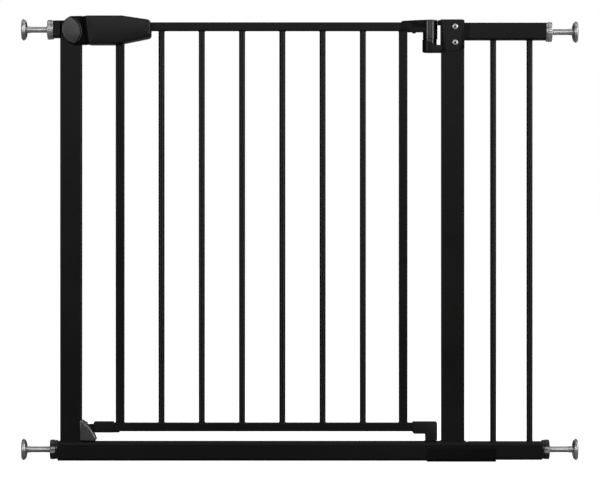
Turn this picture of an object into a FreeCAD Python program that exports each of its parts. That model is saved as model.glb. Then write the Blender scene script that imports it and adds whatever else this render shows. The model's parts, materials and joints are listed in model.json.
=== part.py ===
import FreeCAD, Part
import math
import os
import re

import Sketcher

# Safety baby gate, pressure-fitted between two walls, with its swinging leaf closed.
# Millimetres. +X to the right seen from the front, the front faces -Y, +Z up.
# The origin is on the floor, midway between the walls and midway through the depth.

# Driving sizes. Each is written once and becomes a cell of the sheet.
SIZES = {
    # Overall
    "gate_width": 910.0,           # wall to wall, over the four wall pads
    "gate_height": 728.6,          # floor to the top of the handle
    "top_reach": 52.7,             # wall to the end of a top tube
    "bottom_reach": 59.5,          # wall to the end of a bottom tube
    # Frame tubes
    "tube_wall": 1.5,
    "bottom_tube_height": 31.5,
    "bottom_tube_depth": 28.0,
    "bottom_tube_radius": 5.0,
    "bottom_tube_overhang": 3.1,   # past the right post
    "left_post_width": 35.1,
    "left_post_inset": 3.8,        # from the end of the bottom tube
    "right_post_width": 37.6,
    "post_depth": 20.0,
    "post_radius": 2.5,
    "top_tube_height": 28.0,
    "top_tube_depth": 26.0,
    "top_tube_radius": 3.0,
    "stub_drop": 21.4,             # handle top down to the left top tube's middle
    # Extension
    "extension_width": 133.2,      # right post to the end of the extension's top tube
    "extension_gap": 3.2,          # between the ends of the two bottom tubes
    "extension_drop": 25.1,        # handle top down to the extension top tube's middle
    "extension_tube_height": 29.5,
    "extension_tube_lift": 1.4,    # above the sleeve's floor
    "extension_bar_first": 47.5,
    "extension_bar_pitch": 59.6,
    "collar_length": 9.0,
    "spigot_length": 20.0,
    "peg_length": 9.0,
    "peg_radius": 5.0,
    # Sleeve that joins the two bottom tubes
    "sleeve_wall": 1.6,
    "sleeve_height": 22.6,
    "sleeve_length": 112.1,
    "sleeve_reach": 23.2,          # left of the right post
    "sleeve_corner": 4.0,
    "sleeve_screw_reach": 31.0,    # right of the right post
    # Leaf
    "leaf_tube": 14.0,
    "leaf_tube_radius": 1.8,
    "leaf_floor_gap": 16.25,       # bottom tube up to the leaf
    "leaf_top_drop": 17.2,         # handle top down to the leaf top tube's middle
    "latch_stile_gap": 62.5,       # left post to the latch stile's middle
    "hinge_stile_gap": 44.3,       # hinge axis to the hinge stile's middle
    "first_gap_extra": 1.9,        # the first gap between bars is this much wider
    "bar_diameter": 10.0,
    # Hinge
    "hinge_offset": 18.0,          # right post to the hinge axis
    "pin_radius": 4.0,
    "leaf_lift": 10.0,             # how far the leaf rises to clear its latches
    "barrel_radius": 12.0,
    "barrel_top_drop": 6.1,
    "barrel_height": 31.4,
    "cup_sleeve_radius": 10.9,     # the knuckle's lower end, inside the cup
    "cup_sleeve_length": 15.0,
    "cup_wall": 1.5,
    "cup_slope": 9.6,              # the cup's rim falls this much towards the post
    "cup_floor": 5.0,
    "bracket_plate": 3.0,
    "bracket_top_drop": 5.9,
    "bracket_height": 47.2,
    "bracket_rise": 5.2,           # the bracket's lower edge rises this much to the right
    "bracket_arm_height": 7.9,
    "bracket_arm_depth": 16.0,
    "bracket_screw_drop": 17.95,
    "bracket_screw_pitch": 25.6,
    "bracket_screw_inset": 15.5,   # from the post's right face
    "knuckle_floor": 1.75,         # under the leaf's top tube
    "knuckle_arm_length": 47.5,    # from the hinge axis
    "knuckle_arm_depth": 19.0,
    "knuckle_screw_reach": 26.5,
    "knuckle_screw_length": 8.4,
    "elbow_length": 28.9,          # left of the hinge axis
    "elbow_leg": 19.1,
    "elbow_offset": 1.5,           # the leg's middle stands this far right of the axis
    "elbow_height": 19.4,
    "elbow_depth": 19.0,
    "elbow_socket": 12.0,
    "elbow_drop": 3.75,            # below the leaf's bottom tube
    "bush_radius": 6.5,
    "bush_flange_radius": 9.4,
    "bush_flange": 1.2,
    "bush_depth": 13.0,
    # Bottom catch
    "catch_length": 24.0,          # right of the left post
    "catch_height": 34.6,
    "catch_lap": 2.6,              # over the post's front and back
    "catch_cheek": 3.0,
    "catch_slope_radius": 60.0,
    "nose_length": 9.5,
    "nose_height": 5.0,
    "nose_depth": 8.0,
    "nose_lift": 9.4,              # the nose's middle above the leaf's lower face
    "plug_length": 32.5,
    "plug_wall": 1.9,
    "plug_lip": 9.0,
    # Handle and lock
    "latch_gap": 0.8,              # between the lock cap and the handle
    "handle_gap": 1.3,             # left post to the handle's upper corner
    "handle_slant": 8.7,           # its left end leans this far
    "handle_length": 111.8,
    "handle_height": 46.6,
    "handle_depth": 45.0,
    "handle_flat": 65.0,
    "handle_end_top_drop": 5.8,
    "handle_end_height": 29.6,
    "handle_wall": 2.5,
    "handle_round": 5.0,
    "boss_radius": 3.6,
    "cap_left": 35.0,              # the cap's left bulge from the handle's upper corner
    "cap_depth": 34.0,
    "cap_bulge_radius": 27.0,
    "bolt_reach": 4.0,             # into the post
    "bolt_length": 39.0,
    "bolt_height": 10.0,
    "bolt_depth": 10.0,
    "bolt_drop": 33.6,             # handle top down to the bolt's middle
    "bolt_travel": 8.0,
    "button_length": 13.2,
    "button_depth": 12.0,
    "button_rise": 1.2,
    "button_inset": 18.0,          # right of the handle's upper corner
    "button_stem": 7.0,
    "slide_plate": 2.8,
    "spring_radius": 3.4,
    "spring_wire": 0.9,
    "spring_turns": 7.0,
    # Clamping spindles
    "rod_radius": 5.0,
    "rod_length": 63.0,
    "neck_length": 14.5,           # wall face back to where the rod begins
    "plate_radius": 17.75,
    "plate_back": 7.0,
    "plate_hub_radius": 8.0,
    "plate_hub_back": 10.5,
    "plate_neck_radius": 5.5,
    "plate_face": 1.5,
    "pad_radius": 15.8,
    "wheel_radius": 16.3,
    "wheel_chamfer": 2.0,
    "top_wheel_width": 10.0,
    "bottom_wheel_width": 12.4,
    "wheel_groove_radius": 2.4,
    "wheel_groove_depth": 0.9,
    "guide_length": 9.0,
    "bottom_spindle_lift": 2.2,    # above the bottom tube's middle
    "top_spindle_drop": 0.7,       # below a top tube's middle
    # Fasteners
    "bracket_screw_radius": 3.0,
    "bracket_head_radius": 5.15,
    "bracket_head_height": 3.0,
    "bracket_screw_length": 13.0,
    "bracket_hex": 2.3,
    "rivet_nut_radius": 4.4,
    "rivet_nut_bulge": 6.0,
    "rivet_nut_length": 9.5,
    "small_screw_radius": 1.5,
    "small_head_radius": 3.0,
    "small_head_height": 2.2,
    "sleeve_screw_radius": 2.4,
    "sleeve_head_radius": 4.4,
    "sleeve_head_height": 2.4,
    "sleeve_screw_length": 7.0,
    # Fits
    "running": 0.08,               # radial, shaft in hole
    "slip": 0.2,                   # a tube in its socket
    "play": 0.4,                  # between pieces that move past each other
}

BAR_GAPS = 7
WHEEL_GROOVES = 14

# Places in the gate's frame, worked out from the sizes.
PLACES = {
    "top_end": "gate_width / 2 - top_reach",
    "bottom_end": "gate_width / 2 - bottom_reach",
    "left_post_outer": "left_post_inset - bottom_end",
    "left_post_x": "left_post_outer + left_post_width / 2",
    "left_post_inner": "left_post_outer + left_post_width",
    "right_post_outer": "top_end - extension_width",
    "right_post_x": "right_post_outer - right_post_width / 2",
    "right_post_inner": "right_post_outer - right_post_width",
    "hinge_x": "right_post_inner - hinge_offset",
    "bottom_tube_z": "sleeve_wall + bottom_tube_height / 2",
    "bottom_tube_top": "sleeve_wall + bottom_tube_height",
    "stub_z": "gate_height - stub_drop",
    "left_post_top": "stub_z + top_tube_height / 2",
    "bracket_top": "gate_height - bracket_top_drop",
    "right_post_top": "bracket_top - bracket_plate + play",
    "extension_top_z": "gate_height - extension_drop",
    "extension_bottom_x": "right_post_outer + bottom_tube_overhang + extension_gap",
    "extension_bottom_z": "sleeve_wall + extension_tube_lift + extension_tube_height / 2",
    "sleeve_x": "right_post_inner - sleeve_reach",
    "leaf_bottom_z": "bottom_tube_top + leaf_floor_gap + leaf_tube / 2",
    "leaf_top_z": "gate_height - leaf_top_drop",
    "latch_stile_x": "left_post_inner + latch_stile_gap",
    "hinge_stile_x": "hinge_x - hinge_stile_gap",
    "bar_pitch": f"(hinge_stile_x - latch_stile_x - first_gap_extra) / {BAR_GAPS}",
    "bar_bottom": "leaf_bottom_z + leaf_tube / 2",
    "bar_top": "leaf_top_z - leaf_tube / 2",
    "handle_x": "left_post_inner + handle_gap",
    "handle_bottom": "gate_height - handle_height",
    "bolt_z": "gate_height - bolt_drop",
    "bolt_tip": "left_post_inner - bolt_reach",
    "bolt_tail": "bolt_tip + bolt_length",
    "button_x": "handle_x + button_inset",
    "stem_x": "button_x + button_length / 2",
    "top_tube_start": "stem_x + button_stem / 2 + bolt_travel + 2 * play",
    "barrel_top": "gate_height - barrel_top_drop",
    "barrel_bottom": "barrel_top - barrel_height",
    "cup_bottom": "barrel_bottom - cup_sleeve_length - play - cup_floor",
    "cup_radius": "cup_sleeve_radius + play + cup_wall",
    "elbow_bottom": "bottom_tube_top + bush_flange + play",
    "elbow_low": "leaf_bottom_z - leaf_tube / 2 - elbow_drop",
    "elbow_left": "hinge_x - elbow_length",
    "catch_x": "left_post_inner + catch_length",
    "plug_x": "catch_x - 4 * play - catch_lap",
    "leaf_bottom_start": "plug_x + 3 * plug_wall",
}

WORD = re.compile(r"[a-z][a-z0-9_]*")
V = FreeCAD.Vector
Z_AXIS = V(0, 0, 1)

doc = FreeCAD.newDocument("BabyGate")
sheet = doc.addObject("Spreadsheet::Sheet", "Sizes")
for row, (name, size) in enumerate(SIZES.items(), start=1):
    sheet.set(f"A{row}", name)
    sheet.set(f"B{row}", str(size))
    sheet.setAlias(f"B{row}", name)
doc.recompute()

nodes = []


# ---------------------------------------------------------------- formulas
def formula(text):
    """Spell a formula out in the sheet's cells, replacing the places by theirs."""

    def spell(match):
        word = match.group(0)
        if word in PLACES:
            return f"({formula(PLACES[word])})"
        if word in SIZES:
            return f"Sizes.{word}"
        return word

    return WORD.sub(spell, text)


def number(text):
    """The value that a formula has now."""
    return float(sheet.evalExpression(formula(text)))


def bind(thing, prop, text):
    """Tie a property to a formula of the sheet."""
    thing.setExpression(prop, formula(text))


# ---------------------------------------------------------------- bodies and sketches
def start(label, x="0", y="0", z="0", turn=0.0):
    """A new body with its own Label and Placement, which names one piece of the gate."""
    body = doc.addObject("PartDesign::Body", label)
    body.Label = label
    body.Placement = FreeCAD.Placement(V(), FreeCAD.Rotation(Z_AXIS, turn))
    for axis, place in zip("xyz", (x, y, z)):
        bind(body, f"Placement.Base.{axis}", place)
    nodes.append(body)
    return body


def sketch_on(body, role, offset="0"):
    """A sketch on one of the body's origin planes, moved along that plane's normal.

    XY looks down on +Z, YZ looks along X with +X towards the viewer, and XZ has -Y as its normal.
    """
    sketch = body.newObject("Sketcher::SketchObject", f"{body.Name}_{role[:2]}")
    plane = next(item for item in body.Origin.OriginFeatures if item.Role == role)
    sketch.AttachmentSupport = [(plane, "")]
    sketch.MapMode = "FlatFace"
    bind(sketch, "AttachmentOffset.Base.z", offset)
    return sketch


def constrain(sketch, kind, *where_and_formula):
    """One dimension of a sketch, tied to a formula."""
    *where, text = where_and_formula
    index = sketch.addConstraint(Sketcher.Constraint(kind, *where, number(text)))
    bind(sketch, f"Constraints[{index}]", text)


def circle(sketch, x, y, radius):
    """A circle whose middle and radius are formulas."""
    middle = V(number(x), number(y))
    ring = sketch.addGeometry(Part.Circle(middle, Z_AXIS, number(radius)), False)
    constrain(sketch, "DistanceX", -1, 1, ring, 3, x)
    constrain(sketch, "DistanceY", -1, 1, ring, 3, y)
    constrain(sketch, "Radius", ring, radius)


def arc_between(first, last, radius, clockwise):
    """The shorter arc of a given radius from one point to another."""
    chord = last - first
    half = chord.Length / 2
    rise = math.sqrt(max(radius * radius - half * half, 0.0))
    left = V(-chord.y, chord.x) / chord.Length
    middle = (first + last) / 2 + left * (-rise if clockwise else rise)
    begin, end = (last, first) if clockwise else (first, last)
    angles = [math.atan2(point.y - middle.y, point.x - middle.x) for point in (begin, end)]
    if angles[1] < angles[0]:
        angles[1] += 2 * math.pi
    return Part.ArcOfCircle(Part.Circle(middle, Z_AXIS, radius), *angles)


def outline(sketch, corners):
    """A closed outline. A corner is (x, y), or (x, y, radius) where an arc arrives at it.

    A radius that starts with a minus sign makes the arc turn clockwise.
    """
    points = [V(number(corner[0]), number(corner[1])) for corner in corners]
    ends = []
    for index, corner in enumerate(corners):
        first, last = points[index - 1], points[index]
        if len(corner) == 2:
            edge = sketch.addGeometry(Part.LineSegment(first, last), False)
            ends.append((edge, 1, 2))
            continue
        clockwise = corner[2].startswith("-")
        radius = corner[2].lstrip("-")
        arc = arc_between(first, last, number(radius), clockwise)
        edge = sketch.addGeometry(arc, False)
        ends.append((edge, 2, 1) if clockwise else (edge, 1, 2))
        constrain(sketch, "Radius", edge, radius)
    for index, corner in enumerate(corners):
        edge, _, finish = ends[index]
        after, begin, _ = ends[(index + 1) % len(corners)]
        sketch.addConstraint(Sketcher.Constraint("Coincident", edge, finish, after, begin))
        constrain(sketch, "DistanceX", -1, 1, edge, finish, corner[0])
        constrain(sketch, "DistanceY", -1, 1, edge, finish, corner[1])


def box(sketch, left, low, right, high):
    """A plain rectangle."""
    outline(sketch, [(left, low), (right, low), (right, high), (left, high)])


def rounded(sketch, width, height, radius, x="0", y="0"):
    """A rectangle about (x, y) with round corners."""
    left, right = f"({x}) - ({width}) / 2", f"({x}) + ({width}) / 2"
    low, high = f"({y}) - ({height}) / 2", f"({y}) + ({height}) / 2"
    inset = f"({radius})"
    outline(
        sketch,
        [
            (f"{right} - {inset}", low),
            (right, f"{low} + {inset}", radius),
            (right, f"{high} - {inset}"),
            (f"{right} - {inset}", high, radius),
            (f"{left} + {inset}", high),
            (left, f"{high} - {inset}", radius),
            (left, f"{low} + {inset}"),
            (f"{left} + {inset}", low, radius),
        ],
    )


# ---------------------------------------------------------------- features
def extrude(kind, sketch, length, both=False, flip=False):
    """A Pad or a Pocket of a sketch. A one-sided Pad follows the sketch's normal, as does a
    flipped Pocket; both=True goes half the length to each side."""
    body = sketch.getParentGeoFeatureGroup()
    feature = body.newObject(f"PartDesign::{kind}", f"{body.Name}_{kind}")
    feature.Profile = sketch
    bind(feature, "Length", length)
    feature.SideType = "Symmetric" if both else "One side"
    feature.Reversed = flip
    before = volume_of(body) if kind == "Pocket" else None
    doc.recompute()
    sketch.Visibility = False
    if kind == "Pocket" and not feature.Shape.Volume < before:
        raise RuntimeError(f"{feature.Name} cuts nothing")
    return feature


def volume_of(body):
    """The body's volume before the feature that is being added."""
    solids = [item for item in body.Group if item.isDerivedFrom("PartDesign::Feature")]
    return solids[-2].Shape.Volume if len(solids) > 1 else 0.0


def revolve(kind, sketch, axis):
    """A Revolution or a Groove of a sketch about one of the sketch's own axes."""
    body = sketch.getParentGeoFeatureGroup()
    feature = body.newObject(f"PartDesign::{kind}", f"{body.Name}_{kind}")
    feature.Profile = sketch
    feature.ReferenceAxis = (sketch, [axis])
    feature.Angle = 360.0
    doc.recompute()
    sketch.Visibility = False
    return feature


def dress(kind, feature, size, chosen):
    """A Fillet or a Chamfer of the edges that a test chooses."""
    body = feature.getParentGeoFeatureGroup()
    names = [f"Edge{i}" for i, edge in enumerate(feature.Shape.Edges, start=1) if chosen(edge)]
    if not names:
        raise RuntimeError(f"{body.Name}: no edge to {kind}")
    smooth = body.newObject(f"PartDesign::{kind}", f"{body.Name}_{kind}")
    smooth.Base = (feature, names)
    bind(smooth, "Radius" if kind == "Fillet" else "Size", size)
    doc.recompute()
    return smooth


def at(value, target):
    """Whether two lengths are the same, to a hundredth."""
    return abs(value - target) < 0.01


def runs_along(edge, axis):
    """Whether an edge is straight and parallel to an axis."""
    extent = edge.BoundBox
    spans = {"x": extent.XLength, "y": extent.YLength, "z": extent.ZLength}
    others = [span for name, span in spans.items() if name != axis]
    return edge.Curve.TypeId == "Part::GeomLine" and spans[axis] > 0.01 and max(others) < 0.01


def middle_of(edge):
    """The middle of an edge's box."""
    return edge.BoundBox.Center


def section(sketch, width, height, radius):
    """The section of a tube with the frame's wall."""
    rounded(sketch, width, height, radius)
    inner_radius = f"{radius} - tube_wall"
    rounded(sketch, f"{width} - 2 * tube_wall", f"{height} - 2 * tube_wall", inner_radius)


# ---------------------------------------------------------------- frame
def make_bottom_tube():
    """The threshold tube, with the bush's hole in its top and a screw hole in its back."""
    length = "bottom_end + right_post_outer + bottom_tube_overhang"
    body = start("bottom_tube", "-(bottom_end)", "0", "bottom_tube_z")
    wall = sketch_on(body, "YZ_Plane")
    section(wall, "bottom_tube_depth", "bottom_tube_height", "bottom_tube_radius")
    extrude("Pad", wall, length)
    bush_hole = sketch_on(body, "XY_Plane", "bottom_tube_height / 2")
    circle(bush_hole, "hinge_x + bottom_end", "0", "bush_radius + slip / 2")
    extrude("Pocket", bush_hole, "4 * tube_wall", both=True)
    screw_hole = sketch_on(body, "XZ_Plane", "-(bottom_tube_depth / 2)")
    height = "sleeve_height / 2 - bottom_tube_z"
    circle(screw_hole, "right_post_x + bottom_end", height, "sleeve_screw_radius + slip")
    extrude("Pocket", screw_hole, "4 * tube_wall", both=True)


def make_post(label, x, width, top):
    """One upright of the frame, standing on the bottom tube."""
    body = start(label, x, "0", "bottom_tube_top")
    wall = sketch_on(body, "XY_Plane")
    section(wall, width, "post_depth", "post_radius")
    extrude("Pad", wall, f"{top} - bottom_tube_top")
    return body


def make_left_post():
    """The latch post, with the keeper slot on its inner side and a spindle hole on its outer."""
    body = make_post("left_post", "left_post_x", "left_post_width", "left_post_top")
    keeper = sketch_on(body, "YZ_Plane", "left_post_width / 2")
    half = "bolt_depth / 2 + play"
    low = "bolt_z - bottom_tube_top - bolt_height / 2 - play"
    box(keeper, f"-({half})", low, half, f"{low} + bolt_height + leaf_lift + 2 * play")
    extrude("Pocket", keeper, "4 * tube_wall", both=True)
    spindle = sketch_on(body, "YZ_Plane", "-(left_post_width / 2)")
    circle(spindle, "0", "stub_z - top_spindle_drop - bottom_tube_top", "rod_radius + 2 * play")
    extrude("Pocket", spindle, "4 * tube_wall", both=True)


def make_right_post():
    """The hinge post, with holes for the rivet nuts and for the extension's peg."""
    body = make_post("right_post", "right_post_x", "right_post_width", "right_post_top")
    front = sketch_on(body, "XZ_Plane", "post_depth / 2")
    across = "right_post_width / 2 - bracket_screw_inset"
    for turn in range(2):
        height = f"gate_height - bracket_screw_drop - {turn} * bracket_screw_pitch - bottom_tube_top"
        circle(front, across, height, "rivet_nut_radius + slip / 2")
    extrude("Pocket", front, "4 * tube_wall", both=True)
    side = sketch_on(body, "YZ_Plane", "right_post_width / 2")
    circle(side, "0", "extension_top_z - bottom_tube_top", "peg_radius + slip")
    extrude("Pocket", side, "4 * tube_wall", both=True)


def make_tube_x(label, x, z, length, width, height, radius):
    """A frame tube that runs along X from x."""
    body = start(label, x, "0", z)
    wall = sketch_on(body, "YZ_Plane")
    section(wall, width, height, radius)
    extrude("Pad", wall, length)
    return body


def make_left_top_stub():
    """The short tube that carries the upper left spindle."""
    make_tube_x("left_top_stub", "-(top_end)", "stub_z", "top_end + left_post_outer",
                "top_tube_depth", "top_tube_height", "top_tube_radius")


# ---------------------------------------------------------------- extension
def make_extension():
    """Two tubes, two round bars, and the connector that pegs them to the hinge post."""
    make_tube_x("extension_top_tube", "right_post_outer + collar_length", "extension_top_z",
                "extension_width - collar_length", "top_tube_depth", "top_tube_height",
                "top_tube_radius")
    bottom = make_tube_x("extension_bottom_tube", "extension_bottom_x", "extension_bottom_z",
                         "bottom_end - extension_bottom_x", "bottom_tube_depth",
                         "extension_tube_height", "bottom_tube_radius")
    hole = sketch_on(bottom, "XZ_Plane", "-(bottom_tube_depth / 2)")
    across = "right_post_outer + sleeve_screw_reach - extension_bottom_x"
    circle(hole, across, "sleeve_height / 2 - extension_bottom_z", "sleeve_screw_radius + slip")
    extrude("Pocket", hole, "4 * tube_wall", both=True)
    low = "extension_bottom_z + extension_tube_height / 2"
    for index in range(2):
        across = f"right_post_outer + extension_bar_first + {index} * extension_bar_pitch"
        make_bar(f"extension_bar_{index + 1}", across, low, "extension_top_z - top_tube_height / 2")
    body = start("extension_connector", "right_post_outer", "0", "extension_top_z")
    collar = sketch_on(body, "YZ_Plane")
    rounded(collar, "top_tube_depth", "top_tube_height", "top_tube_radius")
    extrude("Pad", collar, "collar_length")
    spigot = sketch_on(body, "YZ_Plane")
    rounded(spigot, "top_tube_depth - 2 * tube_wall - slip", "top_tube_height - 2 * tube_wall - slip",
            "top_tube_radius - tube_wall")
    extrude("Pad", spigot, "collar_length + spigot_length")
    peg = sketch_on(body, "YZ_Plane")
    circle(peg, "0", "0", "peg_radius")
    extrude("Pad", peg, "peg_length", flip=True)


def make_bar(label, x, low, high):
    """A round bar from one height to another."""
    body = start(label, x, "0", low)
    end = sketch_on(body, "XY_Plane")
    circle(end, "0", "0", "bar_diameter / 2")
    extrude("Pad", end, f"({high}) - ({low})")


def make_coupling_sleeve():
    """The shoe under both bottom tubes, open at the top."""
    body = start("coupling_sleeve", "sleeve_x")
    wall = sketch_on(body, "YZ_Plane")
    outer = "bottom_tube_depth / 2 + slip / 2 + sleeve_wall"
    inner = "bottom_tube_depth / 2 + slip / 2"
    bend = "bottom_tube_radius"
    outline(
        wall,
        [
            (f"-({outer})", "sleeve_height"),
            (f"-({outer})", f"{bend} + sleeve_wall"),
            (f"-({outer}) + {bend} + sleeve_wall", "0", f"{bend} + sleeve_wall"),
            (f"{outer} - {bend} - sleeve_wall", "0"),
            (outer, f"{bend} + sleeve_wall", f"{bend} + sleeve_wall"),
            (outer, "sleeve_height"),
            (inner, "sleeve_height"),
            (inner, f"{bend} + sleeve_wall"),
            (f"{inner} - {bend}", "sleeve_wall", f"-{bend}"),
            (f"{bend} - ({inner})", "sleeve_wall"),
            (f"-({inner})", f"{bend} + sleeve_wall", f"-{bend}"),
            (f"-({inner})", "sleeve_height"),
        ],
    )
    shoe = extrude("Pad", wall, "sleeve_length")
    top = number("sleeve_height")
    shoe = dress("Fillet", shoe, "sleeve_corner",
                 lambda edge: runs_along(edge, "y") and at(middle_of(edge).z, top))
    holes = sketch_on(body, "XZ_Plane", f"-({outer} - sleeve_wall / 2)")
    for place in ("right_post_x", "right_post_outer + sleeve_screw_reach"):
        circle(holes, f"{place} - sleeve_x", "sleeve_height / 2", "sleeve_screw_radius + slip")
    extrude("Pocket", holes, "3 * sleeve_wall", both=True)


def make_screws(label, spots, face, screw, head, height, length, hexagon, plane="XZ_Plane",
                flip=False):
    """A group of equal screws. Each has a round head that stands on the face and a shank that
    goes the other way. spots are the (first, second) places on the sketch's plane."""
    body = start(label)
    heads = sketch_on(body, plane, face)
    for spot in spots:
        circle(heads, *spot, head)
    top = extrude("Pad", heads, height, flip=flip)
    side = number(f"({face}) + ({height}) * {-1 if flip else 1}")
    axis = {"XZ_Plane": V(0, -1, 0), "XY_Plane": Z_AXIS}[plane]
    dress("Fillet", top, f"({height}) * 0.6",
          lambda edge: at(middle_of(edge).dot(axis), side))
    shanks = sketch_on(body, plane, face)
    for spot in spots:
        circle(shanks, *spot, screw)
    extrude("Pad", shanks, length, flip=not flip)
    drive = sketch_on(body, plane, f"({face}) + ({height}) * {-1 if flip else 1}")
    for spot in spots:
        corners = []
        for turn in range(6):
            angle = math.radians(60 * turn)
            corners.append((f"({spot[0]}) + ({hexagon}) * {math.cos(angle):.6f}",
                            f"({spot[1]}) + ({hexagon}) * {math.sin(angle):.6f}"))
        outline(drive, corners)
    extrude("Pocket", drive, f"({height}) * 0.7", flip=flip)


def make_sleeve_screws():
    """The two screws at the back of the sleeve, one into each tube."""
    spots = [(place, "sleeve_height / 2")
             for place in ("right_post_x", "right_post_outer + sleeve_screw_reach")]
    make_screws("sleeve_screws", spots, "-(bottom_tube_depth / 2 + slip / 2 + sleeve_wall)",
                "sleeve_screw_radius", "sleeve_head_radius", "sleeve_head_height",
                "sleeve_screw_length", "bracket_hex * 0.75", flip=True)


# ---------------------------------------------------------------- lower hinge
def make_lower_hinge_bush():
    """The flanged bush in the bottom tube that the lower pin turns in."""
    body = start("lower_hinge_bush", "hinge_x", "0", "bottom_tube_top")
    flange = sketch_on(body, "XY_Plane")
    circle(flange, "0", "0", "bush_flange_radius")
    extrude("Pad", flange, "bush_flange")
    barrel = sketch_on(body, "XY_Plane")
    circle(barrel, "0", "0", "bush_radius")
    extrude("Pad", barrel, "bush_depth", flip=True)
    bore = sketch_on(body, "XY_Plane")
    circle(bore, "0", "0", "pin_radius + running")
    extrude("Pocket", bore, "4 * bush_depth", both=True)


def make_pin(label, low, high):
    """A hinge pin with chamfered ends."""
    body = start(label, "hinge_x", "0", low)
    end = sketch_on(body, "XY_Plane")
    circle(end, "0", "0", "pin_radius")
    pin = extrude("Pad", end, f"({high}) - ({low})")
    dress("Chamfer", pin, "pin_radius / 6", lambda edge: edge.Curve.TypeId == "Part::GeomCircle")


def make_hinge_elbow():
    """The foot of the leaf: a socket for its bottom tube and a leg that turns on the pin."""
    body = start("hinge_elbow", "hinge_x")
    side = sketch_on(body, "XZ_Plane")
    leg_left = "elbow_offset - elbow_leg / 2"
    leg_right = "elbow_offset + elbow_leg / 2"
    outline(
        side,
        [
            ("-(elbow_length)", "elbow_low"),
            (leg_left, "elbow_low"),
            (leg_left, "elbow_bottom"),
            (leg_right, "elbow_bottom"),
            (leg_right, "elbow_low + elbow_height"),
            ("-(elbow_length)", "elbow_low + elbow_height"),
        ],
    )
    block = extrude("Pad", side, "elbow_depth", both=True)
    half = number("elbow_depth / 2")
    low = number("elbow_bottom")
    block = dress("Fillet", block, "elbow_depth / 10",
                  lambda edge: at(abs(middle_of(edge).y), half) and middle_of(edge).z > low + 0.1)
    socket = sketch_on(body, "YZ_Plane", "-(elbow_length)")
    width = "leaf_tube + slip"
    rounded(socket, width, width, "leaf_tube_radius", "0", "leaf_bottom_z")
    extrude("Pocket", socket, "elbow_socket", flip=True)
    bore = sketch_on(body, "XY_Plane", "elbow_bottom")
    circle(bore, "0", "0", "pin_radius + running")
    extrude("Pocket", bore, "elbow_low + elbow_height - elbow_bottom - elbow_depth / 5", flip=True)


# ---------------------------------------------------------------- upper hinge
def make_upper_hinge_bracket():
    """The bracket over the hinge post's top, with the cup that carries the knuckle."""
    body = start("upper_hinge_bracket", "hinge_x")
    post_left = "hinge_offset - slip / 2"
    post_right = "hinge_offset + right_post_width"
    arm_left = "barrel_radius + play"
    side = sketch_on(body, "XZ_Plane")
    outline(
        side,
        [
            (post_left, "bracket_top - bracket_height - bracket_rise"),
            (post_right, "bracket_top - bracket_height", "right_post_width * 1.4"),
            (post_right, "bracket_top"),
            (post_left, "bracket_top"),
        ],
    )
    extrude("Pad", side, "post_depth + 2 * bracket_plate", both=True)
    arm = sketch_on(body, "XZ_Plane")
    box(arm, arm_left, "bracket_top - 2 * play - bracket_arm_height + play",
        f"{post_left} + bracket_plate", "bracket_top - 2 * play")
    extrude("Pad", arm, "bracket_arm_depth", both=True)
    lower = sketch_on(body, "XZ_Plane")
    box(lower, "0", "cup_bottom", f"{post_left} + bracket_plate", "barrel_bottom - cup_slope")
    extrude("Pad", lower, "2 * cup_radius", both=True)
    cup = sketch_on(body, "XY_Plane", "cup_bottom")
    circle(cup, "0", "0", "cup_radius")
    extrude("Pad", cup, "barrel_bottom - play - cup_bottom")
    slope = sketch_on(body, "XZ_Plane")
    outline(
        slope,
        [
            ("-(cup_radius + play)", "barrel_bottom - play"),
            (arm_left, "barrel_bottom - play - cup_slope"),
            (arm_left, "barrel_bottom + barrel_height / 2"),
            ("-(cup_radius + play)", "barrel_bottom + barrel_height / 2"),
        ],
    )
    extrude("Pocket", slope, "2 * cup_radius + 4 * play", both=True)
    hollow = sketch_on(body, "XY_Plane", "cup_bottom + cup_floor")
    circle(hollow, "0", "0", "cup_sleeve_radius + play")
    extrude("Pocket", hollow, "barrel_height", flip=True)
    bore = sketch_on(body, "XY_Plane", "cup_bottom")
    circle(bore, "0", "0", "pin_radius + running")
    extrude("Pocket", bore, "3 * cup_floor", both=True)
    post = sketch_on(body, "XY_Plane", "right_post_top + slip / 2")
    half = "post_depth / 2 + slip / 2"
    box(post, post_left, f"-({half})", f"{post_right} + play", half)
    extrude("Pocket", post, "2 * bracket_height")
    holes = sketch_on(body, "XZ_Plane", "post_depth / 2 + bracket_plate / 2")
    for turn in range(2):
        height = f"gate_height - bracket_screw_drop - {turn} * bracket_screw_pitch"
        circle(holes, f"{post_right} - bracket_screw_inset", height, "bracket_screw_radius + slip")
    extrude("Pocket", holes, "2 * bracket_plate", both=True)


def make_bracket_fasteners():
    """Two button-head screws and the rivet nuts in the post that they turn into."""
    across = "right_post_outer - bracket_screw_inset"
    heights = [f"gate_height - bracket_screw_drop - {turn} * bracket_screw_pitch" for turn in (0, 1)]
    spots = [(across, height) for height in heights]
    make_screws("bracket_screws", spots, "post_depth / 2 + bracket_plate", "bracket_screw_radius",
                "bracket_head_radius", "bracket_head_height", "bracket_screw_length", "bracket_hex")
    body = start("rivet_nuts")
    barrels = sketch_on(body, "XZ_Plane", "post_depth / 2")
    for spot in spots:
        circle(barrels, *spot, "rivet_nut_radius")
    extrude("Pad", barrels, "rivet_nut_length", flip=True)
    bulges = sketch_on(body, "XZ_Plane", "post_depth / 2 - tube_wall")
    for spot in spots:
        circle(bulges, *spot, "rivet_nut_bulge")
    extrude("Pad", bulges, "tube_wall", flip=True)
    bores = sketch_on(body, "XZ_Plane", "post_depth / 2")
    for spot in spots:
        circle(bores, *spot, "bracket_screw_radius + running")
    extrude("Pocket", bores, "4 * rivet_nut_length", both=True)


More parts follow.
